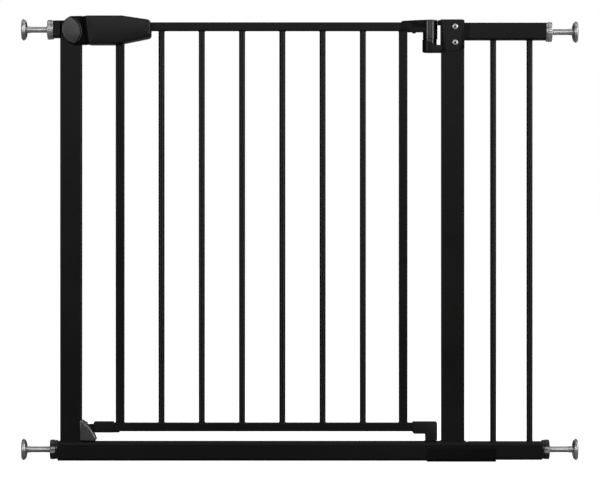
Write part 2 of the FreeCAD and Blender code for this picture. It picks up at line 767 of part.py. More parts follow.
def make_upper_hinge_knuckle():
    """The leaf's upper knuckle: a socket arm on the top tube and a barrel around the pin."""
    body = start("upper_hinge_knuckle", "hinge_x")
    side = sketch_on(body, "XZ_Plane")
    low = "leaf_top_z - leaf_tube / 2 - knuckle_floor"
    stile_right = "leaf_tube / 2 + play - hinge_stile_gap"
    under_tube = "leaf_top_z - leaf_tube / 2 + slip / 2"
    outline(
        side,
        [
            ("-(knuckle_arm_length)", under_tube),
            (stile_right, under_tube),
            (stile_right, low),
            ("0", low),
            ("0", "barrel_top"),
            ("-(barrel_radius)", "barrel_top"),
            ("-(knuckle_arm_length)", "leaf_top_z + leaf_tube / 2 + 1.5 * tube_wall"),
        ],
    )
    extrude("Pad", side, "knuckle_arm_depth", both=True)
    barrel = sketch_on(body, "XY_Plane", "barrel_bottom")
    circle(barrel, "0", "0", "barrel_radius")
    extrude("Pad", barrel, "barrel_height")
    lower = sketch_on(body, "XY_Plane", "barrel_bottom")
    circle(lower, "0", "0", "cup_sleeve_radius")
    extrude("Pad", lower, "cup_sleeve_length", flip=True)
    socket = sketch_on(body, "YZ_Plane", "-(knuckle_arm_length)")
    width = "leaf_tube + slip"
    rounded(socket, width, width, "leaf_tube_radius", "0", "leaf_top_z")
    extrude("Pocket", socket, "knuckle_arm_length - barrel_radius - 2 * tube_wall", flip=True)
    bore = sketch_on(body, "XY_Plane", "barrel_bottom - cup_sleeve_length")
    circle(bore, "0", "0", "pin_radius + running")
    extrude("Pocket", bore, "cup_sleeve_length + barrel_height * 0.7", flip=True)
    screw = sketch_on(body, "XY_Plane", low)
    circle(screw, "-(knuckle_screw_reach)", "0", "small_screw_radius + slip")
    extrude("Pocket", screw, "knuckle_floor + leaf_tube / 2", flip=True)


def make_knuckle_screw():
    """The screw from below that fixes the knuckle on the top tube."""
    face = "leaf_top_z - leaf_tube / 2 - knuckle_floor"
    make_screws("knuckle_fixing_screw", [("hinge_x - knuckle_screw_reach", "0")], face,
                "small_screw_radius", "small_head_radius", "small_head_height",
                "knuckle_screw_length", "bracket_hex / 2", plane="XY_Plane", flip=True)


# ---------------------------------------------------------------- leaf
def make_leaf_tube(label, x, z, length, upright=False):
    """A square tube of the leaf, along X or upright from its start."""
    body = start(label, x, "0", z)
    wall = sketch_on(body, "XY_Plane" if upright else "YZ_Plane")
    section(wall, "leaf_tube", "leaf_tube", "leaf_tube_radius")
    extrude("Pad", wall, length)
    return body


def make_leaf():
    """The leaf's two rails, two stiles and six round bars."""
    rail_end = "elbow_left + elbow_socket - slip"
    make_leaf_tube("leaf_bottom_tube", "leaf_bottom_start", "leaf_bottom_z",
                   f"{rail_end} - leaf_bottom_start")
    top_end = "hinge_x - barrel_radius - 2 * tube_wall - slip"
    top = make_leaf_tube("leaf_top_tube", "top_tube_start", "leaf_top_z",
                         f"{top_end} - top_tube_start")
    hole = sketch_on(top, "XY_Plane", "-(leaf_tube / 2)")
    circle(hole, "hinge_x - knuckle_screw_reach - (top_tube_start)", "0",
           "small_screw_radius + slip")
    extrude("Pocket", hole, "4 * tube_wall", both=True)
    for label, place in (("latch_stile", "latch_stile_x"), ("hinge_stile", "hinge_stile_x")):
        make_leaf_tube(label, place, "bar_bottom", "bar_top - bar_bottom", upright=True)
    for index in range(1, BAR_GAPS):
        across = f"hinge_stile_x - {BAR_GAPS - index} * bar_pitch"
        make_bar(f"leaf_bar_{index}", across, "bar_bottom", "bar_top")


# ---------------------------------------------------------------- bottom catch
def make_bottom_catch():
    """The catch between the left post and the bottom tube, with a notch for the leaf's nose."""
    body = start("bottom_catch", "left_post_inner", "0", "bottom_tube_top")
    side = sketch_on(body, "XZ_Plane")
    outline(
        side,
        [
            ("-(catch_lap)", "0"),
            ("catch_length - catch_lap", "0"),
            ("catch_length", "catch_lap * 1.6", "catch_lap * 2.4"),
            ("catch_lap", "catch_height", "catch_slope_radius"),
            ("-(catch_lap)", "catch_height"),
        ],
    )
    extrude("Pad", side, "post_depth + 2 * catch_cheek", both=True)
    post = sketch_on(body, "XY_Plane")
    half = "post_depth / 2 + slip / 2"
    box(post, "-(2 * catch_lap)", f"-({half})", "slip / 2", half)
    extrude("Pocket", post, "2 * catch_height", flip=True)
    notch = sketch_on(body, "XZ_Plane")
    low = "leaf_floor_gap + nose_lift - nose_height / 2 - play"
    box(notch, "plug_x - nose_length - 2 * play - left_post_inner", low,
        "catch_length + catch_lap", "2 * catch_height")
    extrude("Pocket", notch, "nose_depth + 2 * play", both=True)


def make_leaf_catch_plug():
    """The plug on the leaf's lower corner, with the nose that drops into the catch."""
    body = start("leaf_catch_plug", "plug_x", "0", "leaf_bottom_z")
    outer = "leaf_tube + 2 * plug_wall"
    end = sketch_on(body, "YZ_Plane")
    rounded(end, outer, outer, "leaf_tube_radius + plug_wall / 2")
    extrude("Pad", end, "plug_length")
    nose = sketch_on(body, "XZ_Plane")
    middle = "nose_lift - leaf_tube / 2"
    box(nose, "-(nose_length)", f"{middle} - nose_height / 2", "plug_wall",
        f"{middle} + nose_height / 2")
    extrude("Pad", nose, "nose_depth", both=True)
    lip = sketch_on(body, "XZ_Plane")
    box(lip, "plug_length - plug_wall", "-(leaf_tube / 2) - plug_wall", "plug_length + plug_lip",
        "-(leaf_tube / 2) - slip / 2")
    extrude("Pad", lip, "leaf_tube", both=True)
    socket = sketch_on(body, "YZ_Plane", "2.5 * plug_wall")
    rounded(socket, "leaf_tube + slip", "leaf_tube + slip", "leaf_tube_radius")
    extrude("Pocket", socket, "plug_length", flip=True)


# ---------------------------------------------------------------- lock cap
def make_lock_cap():
    """The keeper housing over the left post's top: a bulged left side, a leaning right side."""
    body = start("lock_cap", "handle_x", "0", "handle_bottom")
    right_top = "-(latch_gap)"
    right_low = "handle_slant - latch_gap"
    side = sketch_on(body, "XZ_Plane")
    outline(
        side,
        [
            (right_low, "0"),
            (right_top, "handle_height"),
            ("handle_height / 2 - cap_left - 2.5", "handle_height"),
            ("-(cap_left)", "handle_height / 2", "cap_bulge_radius"),
            ("handle_height / 4 - cap_left + 10", "0", "cap_bulge_radius * 1.15"),
        ],
    )
    block = extrude("Pad", side, "cap_depth", both=True)
    half = number("cap_depth / 2")
    block = dress("Fillet", block, "cap_depth / 14",
                  lambda edge: at(abs(middle_of(edge).y), half))
    post = sketch_on(body, "XY_Plane", "left_post_top - handle_bottom + slip / 2")
    half_post = "post_depth / 2 + slip / 2"
    box(post, "-(cap_left + 2 * latch_gap)", f"-({half_post})", "slip / 2 - handle_gap", half_post)
    extrude("Pocket", post, "2 * handle_height")
    keeper = sketch_on(body, "YZ_Plane", "0")
    across = "bolt_depth / 2 + play"
    low = "bolt_z - handle_bottom - bolt_height / 2 - play"
    box(keeper, f"-({across})", low, across, f"{low} + bolt_height + leaf_lift + 2 * play")
    extrude("Pocket", keeper, "4 * handle_slant", both=True)


# ---------------------------------------------------------------- handle and lock
HANDLE_OUTLINE = [
    ("handle_slant", "0"),
    ("handle_flat - handle_slant", "0"),
    ("handle_length - handle_end_top_drop", "handle_height - handle_end_top_drop - handle_end_height"),
    ("handle_length", "handle_height - handle_end_height", "handle_end_top_drop"),
    ("handle_length", "handle_height - 2 * handle_end_top_drop"),
    ("handle_length - handle_end_top_drop", "handle_height - handle_end_top_drop",
     "handle_end_top_drop"),
    ("handle_flat", "handle_height"),
    ("0", "handle_height"),
]
BOSSES = [("handle_slant", "handle_height * 0.63"), ("handle_length * 0.7", "handle_height * 0.26")]


def make_handle_shell(label, front):
    """Half of the handle, split on the leaf's middle plane."""
    body = start(label, "handle_x", "0", "handle_bottom")
    depth = "handle_depth / 2"
    side = sketch_on(body, "XZ_Plane")
    outline(side, HANDLE_OUTLINE)
    shell = extrude("Pad", side, depth, flip=not front)
    face = number(depth) * (-1 if front else 1)
    shell = dress("Fillet", shell, "handle_round", lambda edge: at(middle_of(edge).y, face))
    inner = "handle_depth / 2 - handle_wall"
    hollow = sketch_on(body, "XZ_Plane")
    rim = "1.6 * handle_wall"
    outline(
        hollow,
        [
            (f"handle_slant + {rim}", "handle_wall"),
            ("handle_flat - handle_slant", "handle_wall"),
            (f"handle_length - {rim}", "handle_height - handle_end_height + handle_end_top_drop / 2"),
            (f"handle_length - {rim}", "handle_height - 2 * handle_end_top_drop"),
            (f"handle_flat - {rim}", "handle_height - handle_wall"),
            (rim, "handle_height - handle_wall"),
        ],
    )
    extrude("Pocket", hollow, inner, flip=front)
    posts = sketch_on(body, "XZ_Plane")
    for spot in BOSSES:
        circle(posts, *spot, "boss_radius")
    extrude("Pad", posts, inner, flip=not front)
    cut_openings(body, front)
    holes = sketch_on(body, "XZ_Plane")
    for spot in BOSSES:
        circle(holes, *spot, "small_screw_radius + slip / 2")
    extrude("Pocket", holes, "handle_depth / 4" if front else "handle_depth", flip=front)
    if not front:
        sinks = sketch_on(body, "XZ_Plane", "-(handle_depth / 2)")
        for spot in BOSSES:
            circle(sinks, *spot, "small_head_radius + slip")
        extrude("Pocket", sinks, "2 * small_head_height + 2 * handle_wall", both=True)


def cut_openings(body, front):
    """The openings where the rail, the stile, the bolt and the button pass the shell."""
    rail_low = "leaf_top_z - handle_bottom - leaf_tube / 2 - slip / 2"
    rail_high = f"{rail_low} + leaf_tube + slip"
    stile_left = "latch_stile_x - handle_x - leaf_tube / 2 - slip / 2"
    tubes = sketch_on(body, "XZ_Plane")
    box(tubes, "handle_length - 2 * leaf_tube", rail_low, "handle_length + handle_wall", rail_high)
    box(tubes, stile_left, "-(handle_wall)", f"{stile_left} + leaf_tube + slip", "4 * handle_wall")
    extrude("Pocket", tubes, "leaf_tube / 2 + slip / 2", flip=front)
    lock = sketch_on(body, "XZ_Plane")
    bolt_low = "bolt_z - handle_bottom - bolt_height / 2 - play"
    box(lock, "-(handle_wall)", bolt_low, "handle_slant + 3 * handle_wall",
        f"{bolt_low} + bolt_height + 2 * play")
    extrude("Pocket", lock, "bolt_depth / 2 + play", flip=front)
    slot = sketch_on(body, "XZ_Plane")
    box(slot, "button_inset - play", "handle_height - 3 * handle_wall",
        "button_inset + button_length + bolt_travel + play", "handle_height + handle_wall")
    extrude("Pocket", slot, "button_depth / 2 + play", flip=front)


def make_handle_screws():
    """The two screws that hold the handle's shells together, sunk in its back."""
    spots = [(f"handle_x + {x}", f"handle_bottom + {z}") for x, z in BOSSES]
    face = "-(handle_depth / 2 - small_head_height - handle_wall)"
    make_screws("handle_screws", spots, face, "small_screw_radius", "small_head_radius",
                "small_head_height", "handle_depth / 2 + 2 * handle_wall", "bracket_hex / 2",
                flip=True)


def make_lock_slider():
    """The thumb button and the spring bolt that it draws back."""
    body = start("latch_bolt", "bolt_tip", "0", "bolt_z")
    end = sketch_on(body, "YZ_Plane")
    rounded(end, "bolt_depth", "bolt_height", "bolt_height / 8")
    bolt = extrude("Pad", end, "bolt_length")
    dress("Chamfer", bolt, "bolt_height / 8", lambda edge: at(middle_of(edge).x, 0.0))
    body = start("thumb_button", "stem_x", "0", "gate_height")
    low = "-(handle_wall + play + slide_plate)"
    stem = sketch_on(body, "XY_Plane", "bolt_z - gate_height + bolt_height / 2")
    rounded(stem, "button_stem", "button_stem", "button_stem / 8")
    extrude("Pad", stem, "bolt_drop - bolt_height / 2")
    plate = sketch_on(body, "XY_Plane", low)
    rounded(plate, "button_length + bolt_travel", "button_depth + 4 * play", "button_stem / 4")
    extrude("Pad", plate, "slide_plate")
    cap = sketch_on(body, "XY_Plane", low)
    rounded(cap, "button_length", "button_depth", "button_depth / 6")
    top = extrude("Pad", cap, f"button_rise - ({low})")
    crown = number("button_rise")
    dress("Fillet", top, "button_rise * 0.7", lambda edge: at(middle_of(edge).z, crown))


def make_latch_spring():
    """The compression spring behind the bolt, a helix of round wire along X."""
    length = "latch_stile_x - leaf_tube / 2 - bolt_tail - 2 * play - spring_wire"
    spine = doc.addObject("Part::Helix", "spring_line")
    bind(spine, "Height", length)
    bind(spine, "Pitch", f"({length}) / spring_turns")
    bind(spine, "Radius", "spring_radius - spring_wire / 2")
    wire = doc.addObject("Part::Circle", "spring_wire_section")
    bind(wire, "Radius", "spring_wire / 2")
    wire.Placement = FreeCAD.Placement(V(), FreeCAD.Rotation(V(1, 0, 0), 90))
    bind(wire, "Placement.Base.x", "spring_radius - spring_wire / 2")
    spring = doc.addObject("Part::Sweep", "latch_spring")
    spring.Label = "latch_spring"
    spring.Sections = [wire]
    spring.Spine = (spine, [])
    spring.Solid = True
    spring.Frenet = True
    spring.Placement = FreeCAD.Placement(V(), FreeCAD.Rotation(V(0, 1, 0), 90))
    bind(spring, "Placement.Base.x", "bolt_tail + play + spring_wire / 2")
    bind(spring, "Placement.Base.z", "bolt_z")
    nodes.append(spring)


# ---------------------------------------------------------------- clamping spindles
# Side, tube end, tube middle, spindle height, wheel width, then the tube's height, depth and radius.
CORNERS = {
    "top_left": ("-1", "top_end", "stub_z", "stub_z - top_spindle_drop", "top_wheel_width",
                 "top_tube_height", "top_tube_depth", "top_tube_radius"),
    "top_right": ("1", "top_end", "extension_top_z", "extension_top_z - top_spindle_drop",
                  "top_wheel_width", "top_tube_height", "top_tube_depth", "top_tube_radius"),
    "bottom_left": ("-1", "bottom_end", "bottom_tube_z", "bottom_tube_z + bottom_spindle_lift",
                    "bottom_wheel_width", "bottom_tube_height", "bottom_tube_depth",
                    "bottom_tube_radius"),
    "bottom_right": ("1", "bottom_end", "extension_bottom_z",
                     "bottom_tube_z + bottom_spindle_lift", "bottom_wheel_width",
                     "extension_tube_height", "bottom_tube_depth", "bottom_tube_radius"),
}


def make_corner(corner):
    """One clamping spindle: guide plug, hand wheel, rod, wall plate and rubber pad."""
    sign, end, middle, height, wheel_width, tube_height, tube_depth, tube_radius = CORNERS[corner]
    turn = 180.0 if sign == "-1" else 0.0
    body = start(f"spindle_guide_{corner}", f"{sign} * ({end})", "0", height, turn)
    plug = sketch_on(body, "YZ_Plane")
    rounded(plug, f"{tube_depth} - 2 * tube_wall - slip", f"{tube_height} - 2 * tube_wall - slip",
            f"{tube_radius} - tube_wall", "0", f"{middle} - ({height})")
    circle(plug, "0", "0", "rod_radius + running")
    extrude("Pad", plug, "guide_length", flip=True)
    make_wheel(f"hand_wheel_{corner}", f"{sign} * ({end} + play)", height, wheel_width, turn)
    wall = f"{sign} * gate_width / 2"
    body = start(f"spindle_rod_{corner}", wall, "0", height, turn)
    bar = sketch_on(body, "YZ_Plane", "-(neck_length)")
    circle(bar, "0", "0", "rod_radius")
    rod = extrude("Pad", bar, "rod_length", flip=True)
    tail = -number("neck_length + rod_length")
    dress("Chamfer", rod, "rod_radius / 5", lambda edge: at(middle_of(edge).x, tail))
    make_wall_plate(f"wall_plate_{corner}", wall, height, turn)
    body = start(f"wall_pad_{corner}", wall, "0", height, turn)
    face = sketch_on(body, "YZ_Plane")
    circle(face, "0", "0", "pad_radius")
    pad = extrude("Pad", face, "plate_face", flip=True)
    dress("Fillet", pad, "plate_face / 3", lambda edge: at(middle_of(edge).x, 0.0))


def make_wheel(label, x, z, width, turn):
    """A hand wheel whose rim has shallow grip grooves."""
    body = start(label, x, "0", z, turn)
    disc = sketch_on(body, "YZ_Plane")
    circle(disc, "0", "0", "wheel_radius")
    wheel = extrude("Pad", disc, width)
    dress("Chamfer", wheel, "wheel_chamfer", lambda edge: edge.Curve.TypeId == "Part::GeomCircle")
    bore = sketch_on(body, "YZ_Plane")
    circle(bore, "0", "0", "rod_radius + running")
    extrude("Pocket", bore, f"3 * {width}", both=True)
    groove = sketch_on(body, "YZ_Plane")
    circle(groove, "0", "wheel_radius + wheel_groove_radius - wheel_groove_depth",
           "wheel_groove_radius")
    cut = extrude("Pocket", groove, f"3 * {width}", both=True)
    pattern = body.newObject("PartDesign::PolarPattern", f"{label}_grip")
    pattern.Originals = [cut]
    pattern.Axis = (groove, ["N_Axis"])
    pattern.Angle = 360.0
    pattern.Occurrences = WHEEL_GROOVES
    body.Tip = pattern


def make_wall_plate(label, x, z, turn):
    """The pressed plate at the spindle's end, turned about the rod's axis."""
    body = start(label, x, "0", z, turn)
    half = sketch_on(body, "XY_Plane")
    outline(
        half,
        [
            ("-(neck_length)", "0"),
            ("-(plate_face)", "0"),
            ("-(plate_face)", "plate_radius - plate_face"),
            ("-(2 * plate_face)", "plate_radius", "plate_face * 1.05"),
            ("-(plate_back) + 2 * plate_face", "plate_radius"),
            ("-(plate_back)", "plate_radius - plate_face", "3 * plate_face"),
            ("-(plate_hub_back)", "plate_hub_radius"),
            ("-(neck_length)", "rod_radius", "-plate_neck_radius"),
        ],
    )
    revolve("Revolution", half, "H_Axis")


# ---------------------------------------------------------------- the whole gate
make_bottom_tube()
make_left_post()
make_right_post()
make_left_top_stub()
make_extension()
make_coupling_sleeve()
make_sleeve_screws()
make_lower_hinge_bush()
make_upper_hinge_bracket()
make_bracket_fasteners()
make_bottom_catch()
make_lock_cap()
make_leaf()
make_handle_shell("handle_front_shell", front=True)
make_handle_shell("handle_rear_shell", front=False)
make_handle_screws()
make_leaf_catch_plug()
make_hinge_elbow()
make_upper_hinge_knuckle()
make_knuckle_screw()
make_latch_spring()
make_lock_slider()
make_pin("lower_hinge_pin", "bottom_tube_top - bush_depth", "elbow_low + leaf_lift + 2 * play")
make_pin("upper_hinge_pin", "cup_bottom + play", "barrel_bottom + leaf_lift")
for corner_name in CORNERS:
    make_corner(corner_name)
doc.recompute()

for item in doc.Objects:
    if {"Invalid", "Error"} & set(item.State):
        raise RuntimeError(f"{item.Name} failed: {item.State}")
for node in nodes:
    if node.Shape.isNull() or not node.Shape.isValid() or not node.Shape.Solids:
        raise RuntimeError(f"{node.Label} has no valid solid")

os.makedirs("parts", exist_ok=True)
for node in nodes:
    node.Shape.exportStep(f"parts/{node.Label}.step")
print(f"{len(nodes)} sub-parts")
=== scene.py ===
"""A pressure-fitted safety baby gate: the detailed pieces and finishes around its fixed frame."""

import json
import logging
import math
from collections.abc import Callable, Iterable, Sequence
from dataclasses import dataclass, field
from enum import Enum
from typing import NamedTuple

import bmesh
import bpy
from mathutils import Matrix, Vector


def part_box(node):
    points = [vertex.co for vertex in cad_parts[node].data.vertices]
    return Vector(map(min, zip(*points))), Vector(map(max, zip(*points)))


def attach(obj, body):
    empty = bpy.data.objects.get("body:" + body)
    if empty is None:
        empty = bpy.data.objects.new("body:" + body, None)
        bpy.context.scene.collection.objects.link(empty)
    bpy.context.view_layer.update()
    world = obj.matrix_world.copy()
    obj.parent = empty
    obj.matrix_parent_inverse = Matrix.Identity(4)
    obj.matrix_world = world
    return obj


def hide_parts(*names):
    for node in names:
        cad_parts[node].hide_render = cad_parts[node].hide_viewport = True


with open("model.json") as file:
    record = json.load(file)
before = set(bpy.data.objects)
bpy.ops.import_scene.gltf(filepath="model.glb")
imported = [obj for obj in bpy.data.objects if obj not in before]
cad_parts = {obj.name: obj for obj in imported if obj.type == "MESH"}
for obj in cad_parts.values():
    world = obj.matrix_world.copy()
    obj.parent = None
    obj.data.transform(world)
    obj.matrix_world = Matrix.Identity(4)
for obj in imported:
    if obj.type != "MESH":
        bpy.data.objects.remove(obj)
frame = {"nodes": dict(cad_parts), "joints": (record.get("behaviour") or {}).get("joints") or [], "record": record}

LOG = logging.getLogger("gate")
MM = 0.001
TOUCHING = 1e-7  # metres under which two points are one
X_AXIS, Y_AXIS, Z_AXIS = Vector((1, 0, 0)), Vector((0, 1, 0)), Vector((0, 0, 1))

Point = tuple[float, float]
Corner = tuple[float, float, float]
Colour = tuple[float, float, float]


class Slot(Enum):
    """The record's names for the gate's finishes."""

    POWDER = "powder_coat"
    PLASTIC = "black_plastic"
    CATCH = "catch_plastic"
    ZINC = "zinc_steel"
    SPRING = "spring_steel"
    RUBBER = "grey_rubber"


class Look(NamedTuple):
    """A finish as a material, and the record's name for it."""

    material: bpy.types.Material
    slot: Slot


class Side(Enum):
    """The gate's two faces, as the sign of Y."""

    FRONT = -1.0
    REAR = 1.0


def both_sides(start: float, end: float) -> list[Point]:
    """Two distances from the gate's middle plane, as a stretch of Y on each face."""
    return [(side.value * start, side.value * end) for side in Side]


# --- outlines
def rounded(corners: Sequence[Corner], steps: int = 6) -> list[Point]:
    """A closed outline whose corners are rounded.

    Args:
        corners: Each corner's two coordinates and its radius, in metres.
        steps: How many edges each round corner has.

    Returns:
        The outline's points in order.
    """
    points: list[Point] = []
    for index, (x, z, radius) in enumerate(corners):
        if radius <= 0:
            points.append((x, z))
            continue
        here = Vector((x, z))
        before = Vector(corners[index - 1][:2]) - here
        after = Vector(corners[(index + 1) % len(corners)][:2]) - here
        half = before.angle(after) / 2
        start = here + before.normalized() * (radius / math.tan(half))
        inward = (before.normalized() + after.normalized()).normalized()
        middle = here + inward * radius / math.sin(half)
        first = (start - middle).to_3d()
        turn = -1 if before.to_3d().cross(after.to_3d()).z > 0 else 1
        sweep = (math.pi - 2 * half) * turn
        for step in range(steps + 1):
            spoke = Matrix.Rotation(sweep * step / steps, 3, "Z") @ first
            points.append((middle.x + spoke.x, middle.y + spoke.y))
    return points


def rectangle(across: Point, up: Point, radius: float, steps: int = 6) -> list[Point]:
    """A rectangle's outline, with its four corners rounded alike."""
    (left, right), (low, high) = across, up
    corners = ((left, low), (right, low), (right, high), (left, high))
    return rounded([(*corner, radius) for corner in corners], steps)


def arc(start: Point, through: Point, end: Point, steps: int = 12) -> list[Point]:
    """The points of the circular arc from one point through another to a third.

    Args:
        start: Where the arc starts.
        through: A point on the arc.
        end: Where it ends.
        steps: How many edges the arc has.

    Returns:
        The arc's points, both ends among them.
    """
    (ax, ay), (bx, by), (cx, cy) = start, through, end
    cross = 2 * (ax * (by - cy) + bx * (cy - ay) + cx * (ay - by))
    squares = [x * x + y * y for x, y in (start, through, end)]
    ux = (squares[0] * (by - cy) + squares[1] * (cy - ay) + squares[2] * (ay - by)) / cross
    uy = (squares[0] * (cx - bx) + squares[1] * (ax - cx) + squares[2] * (bx - ax)) / cross
    radius = math.hypot(ax - ux, ay - uy)
    first, last = math.atan2(ay - uy, ax - ux), math.atan2(cy - uy, cx - ux)
    turn = 1 if cross > 0 else -1
    sweep = ((last - first) * turn) % (2 * math.pi) * turn
    angles = [first + sweep * k / steps for k in range(steps + 1)]
    return [(ux + radius * math.cos(angle), uy + radius * math.sin(angle)) for angle in angles]


def quarter(steps: int) -> list[float]:
    """Even angles from 0 to a right angle, both among them."""
    return [math.pi / 2 * k / steps for k in range(steps + 1)]


def nearest_on(first: Point, last: Point, point: Point) -> Vector:
    """The point of a straight stretch that is nearest to another point."""
    start, run = Vector(first), Vector(last) - Vector(first)
    share = (Vector(point) - start).dot(run) / run.length_squared
    return start + run * max(0.0, min(1.0, share))


def drawn_in(point: Point, aim: Vector, inset: float, most: float = 0.9) -> Vector:
    """A point moved towards an aim by an inset, or by most of the way if that is less."""
    here = Vector(point)
    return here.lerp(aim, min(most, inset / (aim - here).length))


# --- meshes
Placing = Callable[[float, float, float], Corner]


def along_x(x: float, y: float, z: float) -> Corner:
    """Place an outline in Y and Z that is raised along X."""
    return y, x, z


def along_y(x: float, y: float, z: float) -> Corner:
    """Place an outline in X and Z that is raised along Y."""
    return x, y, z


def along_z(x: float, y: float, z: float) -> Corner:
    """Place an outline in X and Y that is raised along Z."""
    return x, z, y


class Form:
    """A mesh that is being made, in metres in the gate's frame."""

    def __init__(self) -> None:
        """Start with nothing."""
        self.bm = bmesh.new()

    def _ring(self, points: Iterable[Corner]) -> list[bmesh.types.BMVert]:
        """Add the points of one ring."""
        return [self.bm.verts.new(point) for point in points]

    def _bridge(self, rings: Sequence[Sequence[bmesh.types.BMVert]]) -> None:
        """Join rings in order with quads, or with triangles where one is a single point."""
        for low, high in zip(rings, rings[1:]):
            count = max(len(low), len(high))
            for k in range(count):
                after = (k + 1) % count
                if len(low) == 1:
                    self.bm.faces.new((low[0], high[after], high[k]))
                elif len(high) == 1:
                    self.bm.faces.new((low[k], low[after], high[0]))
                else:
                    self.bm.faces.new((low[k], low[after], high[after], high[k]))

    def lathe(
        self, profile: Sequence[Point], origin: Vector, along: Vector, segments: int = 48,
        closed: bool = False, shaped: Callable[[float, float, float], float] | None = None,
    ) -> None:
        """Turn a profile about an axis.

        Args:
            profile: Pairs of distance along the axis and radius.
            origin: Where the axis starts.
            along: The axis's direction.
            segments: How many faces go round.
            closed: Whether the profile's end joins its start, as in a ring.
            shaped: Gives the radius at an angle, from the angle, the distance and the radius.
        """
        side = along.orthogonal().normalized()
        across = along.cross(side)
        angles = [2 * math.pi * k / segments for k in range(segments)]
        rings = []
        for distance, radius in profile:
            middle = origin + along * distance
            if radius < TOUCHING:
                rings.append(self._ring([middle]))
                continue
            ring = []
            for angle in angles:
                reach = shaped(angle, distance, radius) if shaped else radius
                spoke = side * math.cos(angle) + across * math.sin(angle)
                ring.append(middle + spoke * reach)
            rings.append(self._ring(ring))
        self._bridge([*rings, rings[0]] if closed else rings)

    def prism(
        self, outline: Sequence[Point], depth: Point, edge: float = 0.0,
        place: Placing = along_y, segments: int = 3,
    ) -> None:
        """Raise an outline between two depths, with rounded rims.

        Args:
            outline: The outline's points.
            depth: Where it starts and ends.
            edge: The rims' radius, or 0 for sharp ones.
            place: The direction in which it is raised.
            segments: How many faces go across a rim.
        """
        ends = [self._ring(place(x, y, z) for x, z in outline) for y in depth]
        self._bridge(ends)
        caps = [self.bm.faces.new(end) for end in ends]
        if edge > 0:
            rims = [rim for cap in caps for rim in cap.edges]
            bmesh.ops.bevel(
                self.bm, geom=rims, offset=edge, segments=segments, profile=0.5,
                affect="EDGES", clamp_overlap=True,
            )

    def pillow(
        self, outline: Sequence[Point], spine: tuple[Point, Point], depth: Point, edge: float,
        crown: float, steps: int = 6,
    ) -> None:
        """Raise a soft, crowned cover over an outline in X and Z.

        Args:
            outline: The cover's outline.
            spine: The two ends of the line along which the cover is highest.
            depth: The Y of its flat side and of its highest line.
            edge: The radius of its rim.
            crown: How far it still rises from the rim to the spine.
            steps: How many rings the rim and the crown each have.
        """
        flat, top = depth
        rise = 1.0 if top > flat else -1.0
        wall = top - rise * (crown + edge)
        aims = [nearest_on(*spine, point) for point in outline]
        rings = [self._ring((x, y, z) for x, z in outline) for y in (flat, wall)]
        shoulder: list[Vector] = []
        for turn in quarter(steps)[1:]:
            inset, y = edge * (1 - math.cos(turn)), wall + rise * edge * math.sin(turn)
            shoulder = [drawn_in(point, aim, inset) for point, aim in zip(outline, aims)]
            rings.append(self._ring((p.x, y, p.y) for p in shoulder))
        for share in (k / steps for k in range(1, steps)):
            y = top - rise * crown * (1 - share) ** 2
            inner = [p.lerp(aim, share) for p, aim in zip(shoulder, aims)]
            rings.append(self._ring((p.x, y, p.y) for p in inner))
        self._bridge(rings)
        self.bm.faces.new(rings[0])
        self.bm.faces.new(rings[-1])

    def bead(self, path: Sequence[Vector], normal: Vector, radius: float, ripples: int) -> None:
        """Lay a rippled weld bead along a closed path.

        Args:
            path: The path's points, in order.
            normal: The direction square to the path's plane.
            radius: The bead's mean radius.
            ripples: How many ripples go round.
        """
        ripple, wander, wander_rate, around = 0.14, 0.08, 5.0, 8
        turns = [2 * math.pi * step / around for step in range(around)]
        rings = []
        for k, point in enumerate(path):
            tangent = (path[(k + 1) % len(path)] - path[k - 1]).normalized()
            outward = tangent.cross(normal).normalized()
            swell = ripple * math.cos(2 * math.pi * ripples * k / len(path))
            wave = 1 + swell + wander * math.sin(wander_rate * k)
            rings.append(self._ring(
                point + (outward * math.cos(turn) + normal * math.sin(turn)) * radius * wave
                for turn in turns
            ))
        self._bridge([*rings, rings[0]])

    def build(
        self, name: str, look: Look, body: str, replaced: Iterable[str] = (), sharp: float = 32.0,
    ) -> None:
        """Turn the form into a piece that rides on a body.

        Args:
            name: The piece's name.
            look: Its finish.
            body: The body that it moves with.
            replaced: The frame's nodes that it stands for.
            sharp: The angle in degrees from which an edge shows as an edge.
        """
        bmesh.ops.remove_doubles(self.bm, verts=self.bm.verts, dist=TOUCHING)
        bmesh.ops.recalc_face_normals(self.bm, faces=self.bm.faces)
        mesh = bpy.data.meshes.new(name)
        self.bm.to_mesh(mesh)
        self.bm.free()
        mesh.materials.append(look.material)
        mesh.shade_smooth()
        mesh.set_sharp_from_angle(angle=math.radians(sharp))
        piece = bpy.data.objects.new(name, mesh)
        bpy.context.scene.collection.objects.link(piece)
        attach(piece, body)
        if replaced:
            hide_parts(*replaced)
        LOG.info("%s: %d faces on %s", name, len(mesh.polygons), body)


# --- shader nodes and groups
Link = tuple[bpy.types.Node, str | int, bpy.types.Node, str | int]
VALUE, DIRECTION = "NodeSocketFloat", "NodeSocketVector"


def add_node(tree: bpy.types.NodeTree, kind: str, **values: object) -> bpy.types.Node:
    """Add a shader node to a tree.

    Args:
        tree: The tree.
        kind: The node's type, without its "ShaderNode".
        **values: Its properties, or its inputs where the name starts with "in_".

    Returns:
        The new node.
    """
    node = tree.nodes.new(f"ShaderNode{kind}")
    for name, value in values.items():
        if name.startswith("in_"):
            node.inputs[name[3:].replace("_", " ")].default_value = value
        else:
            setattr(node, name, value)
    return node


def add_range(tree: bpy.types.NodeTree, low: float, high: float,
              onto: Point = (0.0, 1.0)) -> bpy.types.Node:
    """Add a node that maps values from low to high onto another range."""
    return add_node(tree, "MapRange", in_From_Min=low, in_From_Max=high,
                    in_To_Min=onto[0], in_To_Max=onto[1])


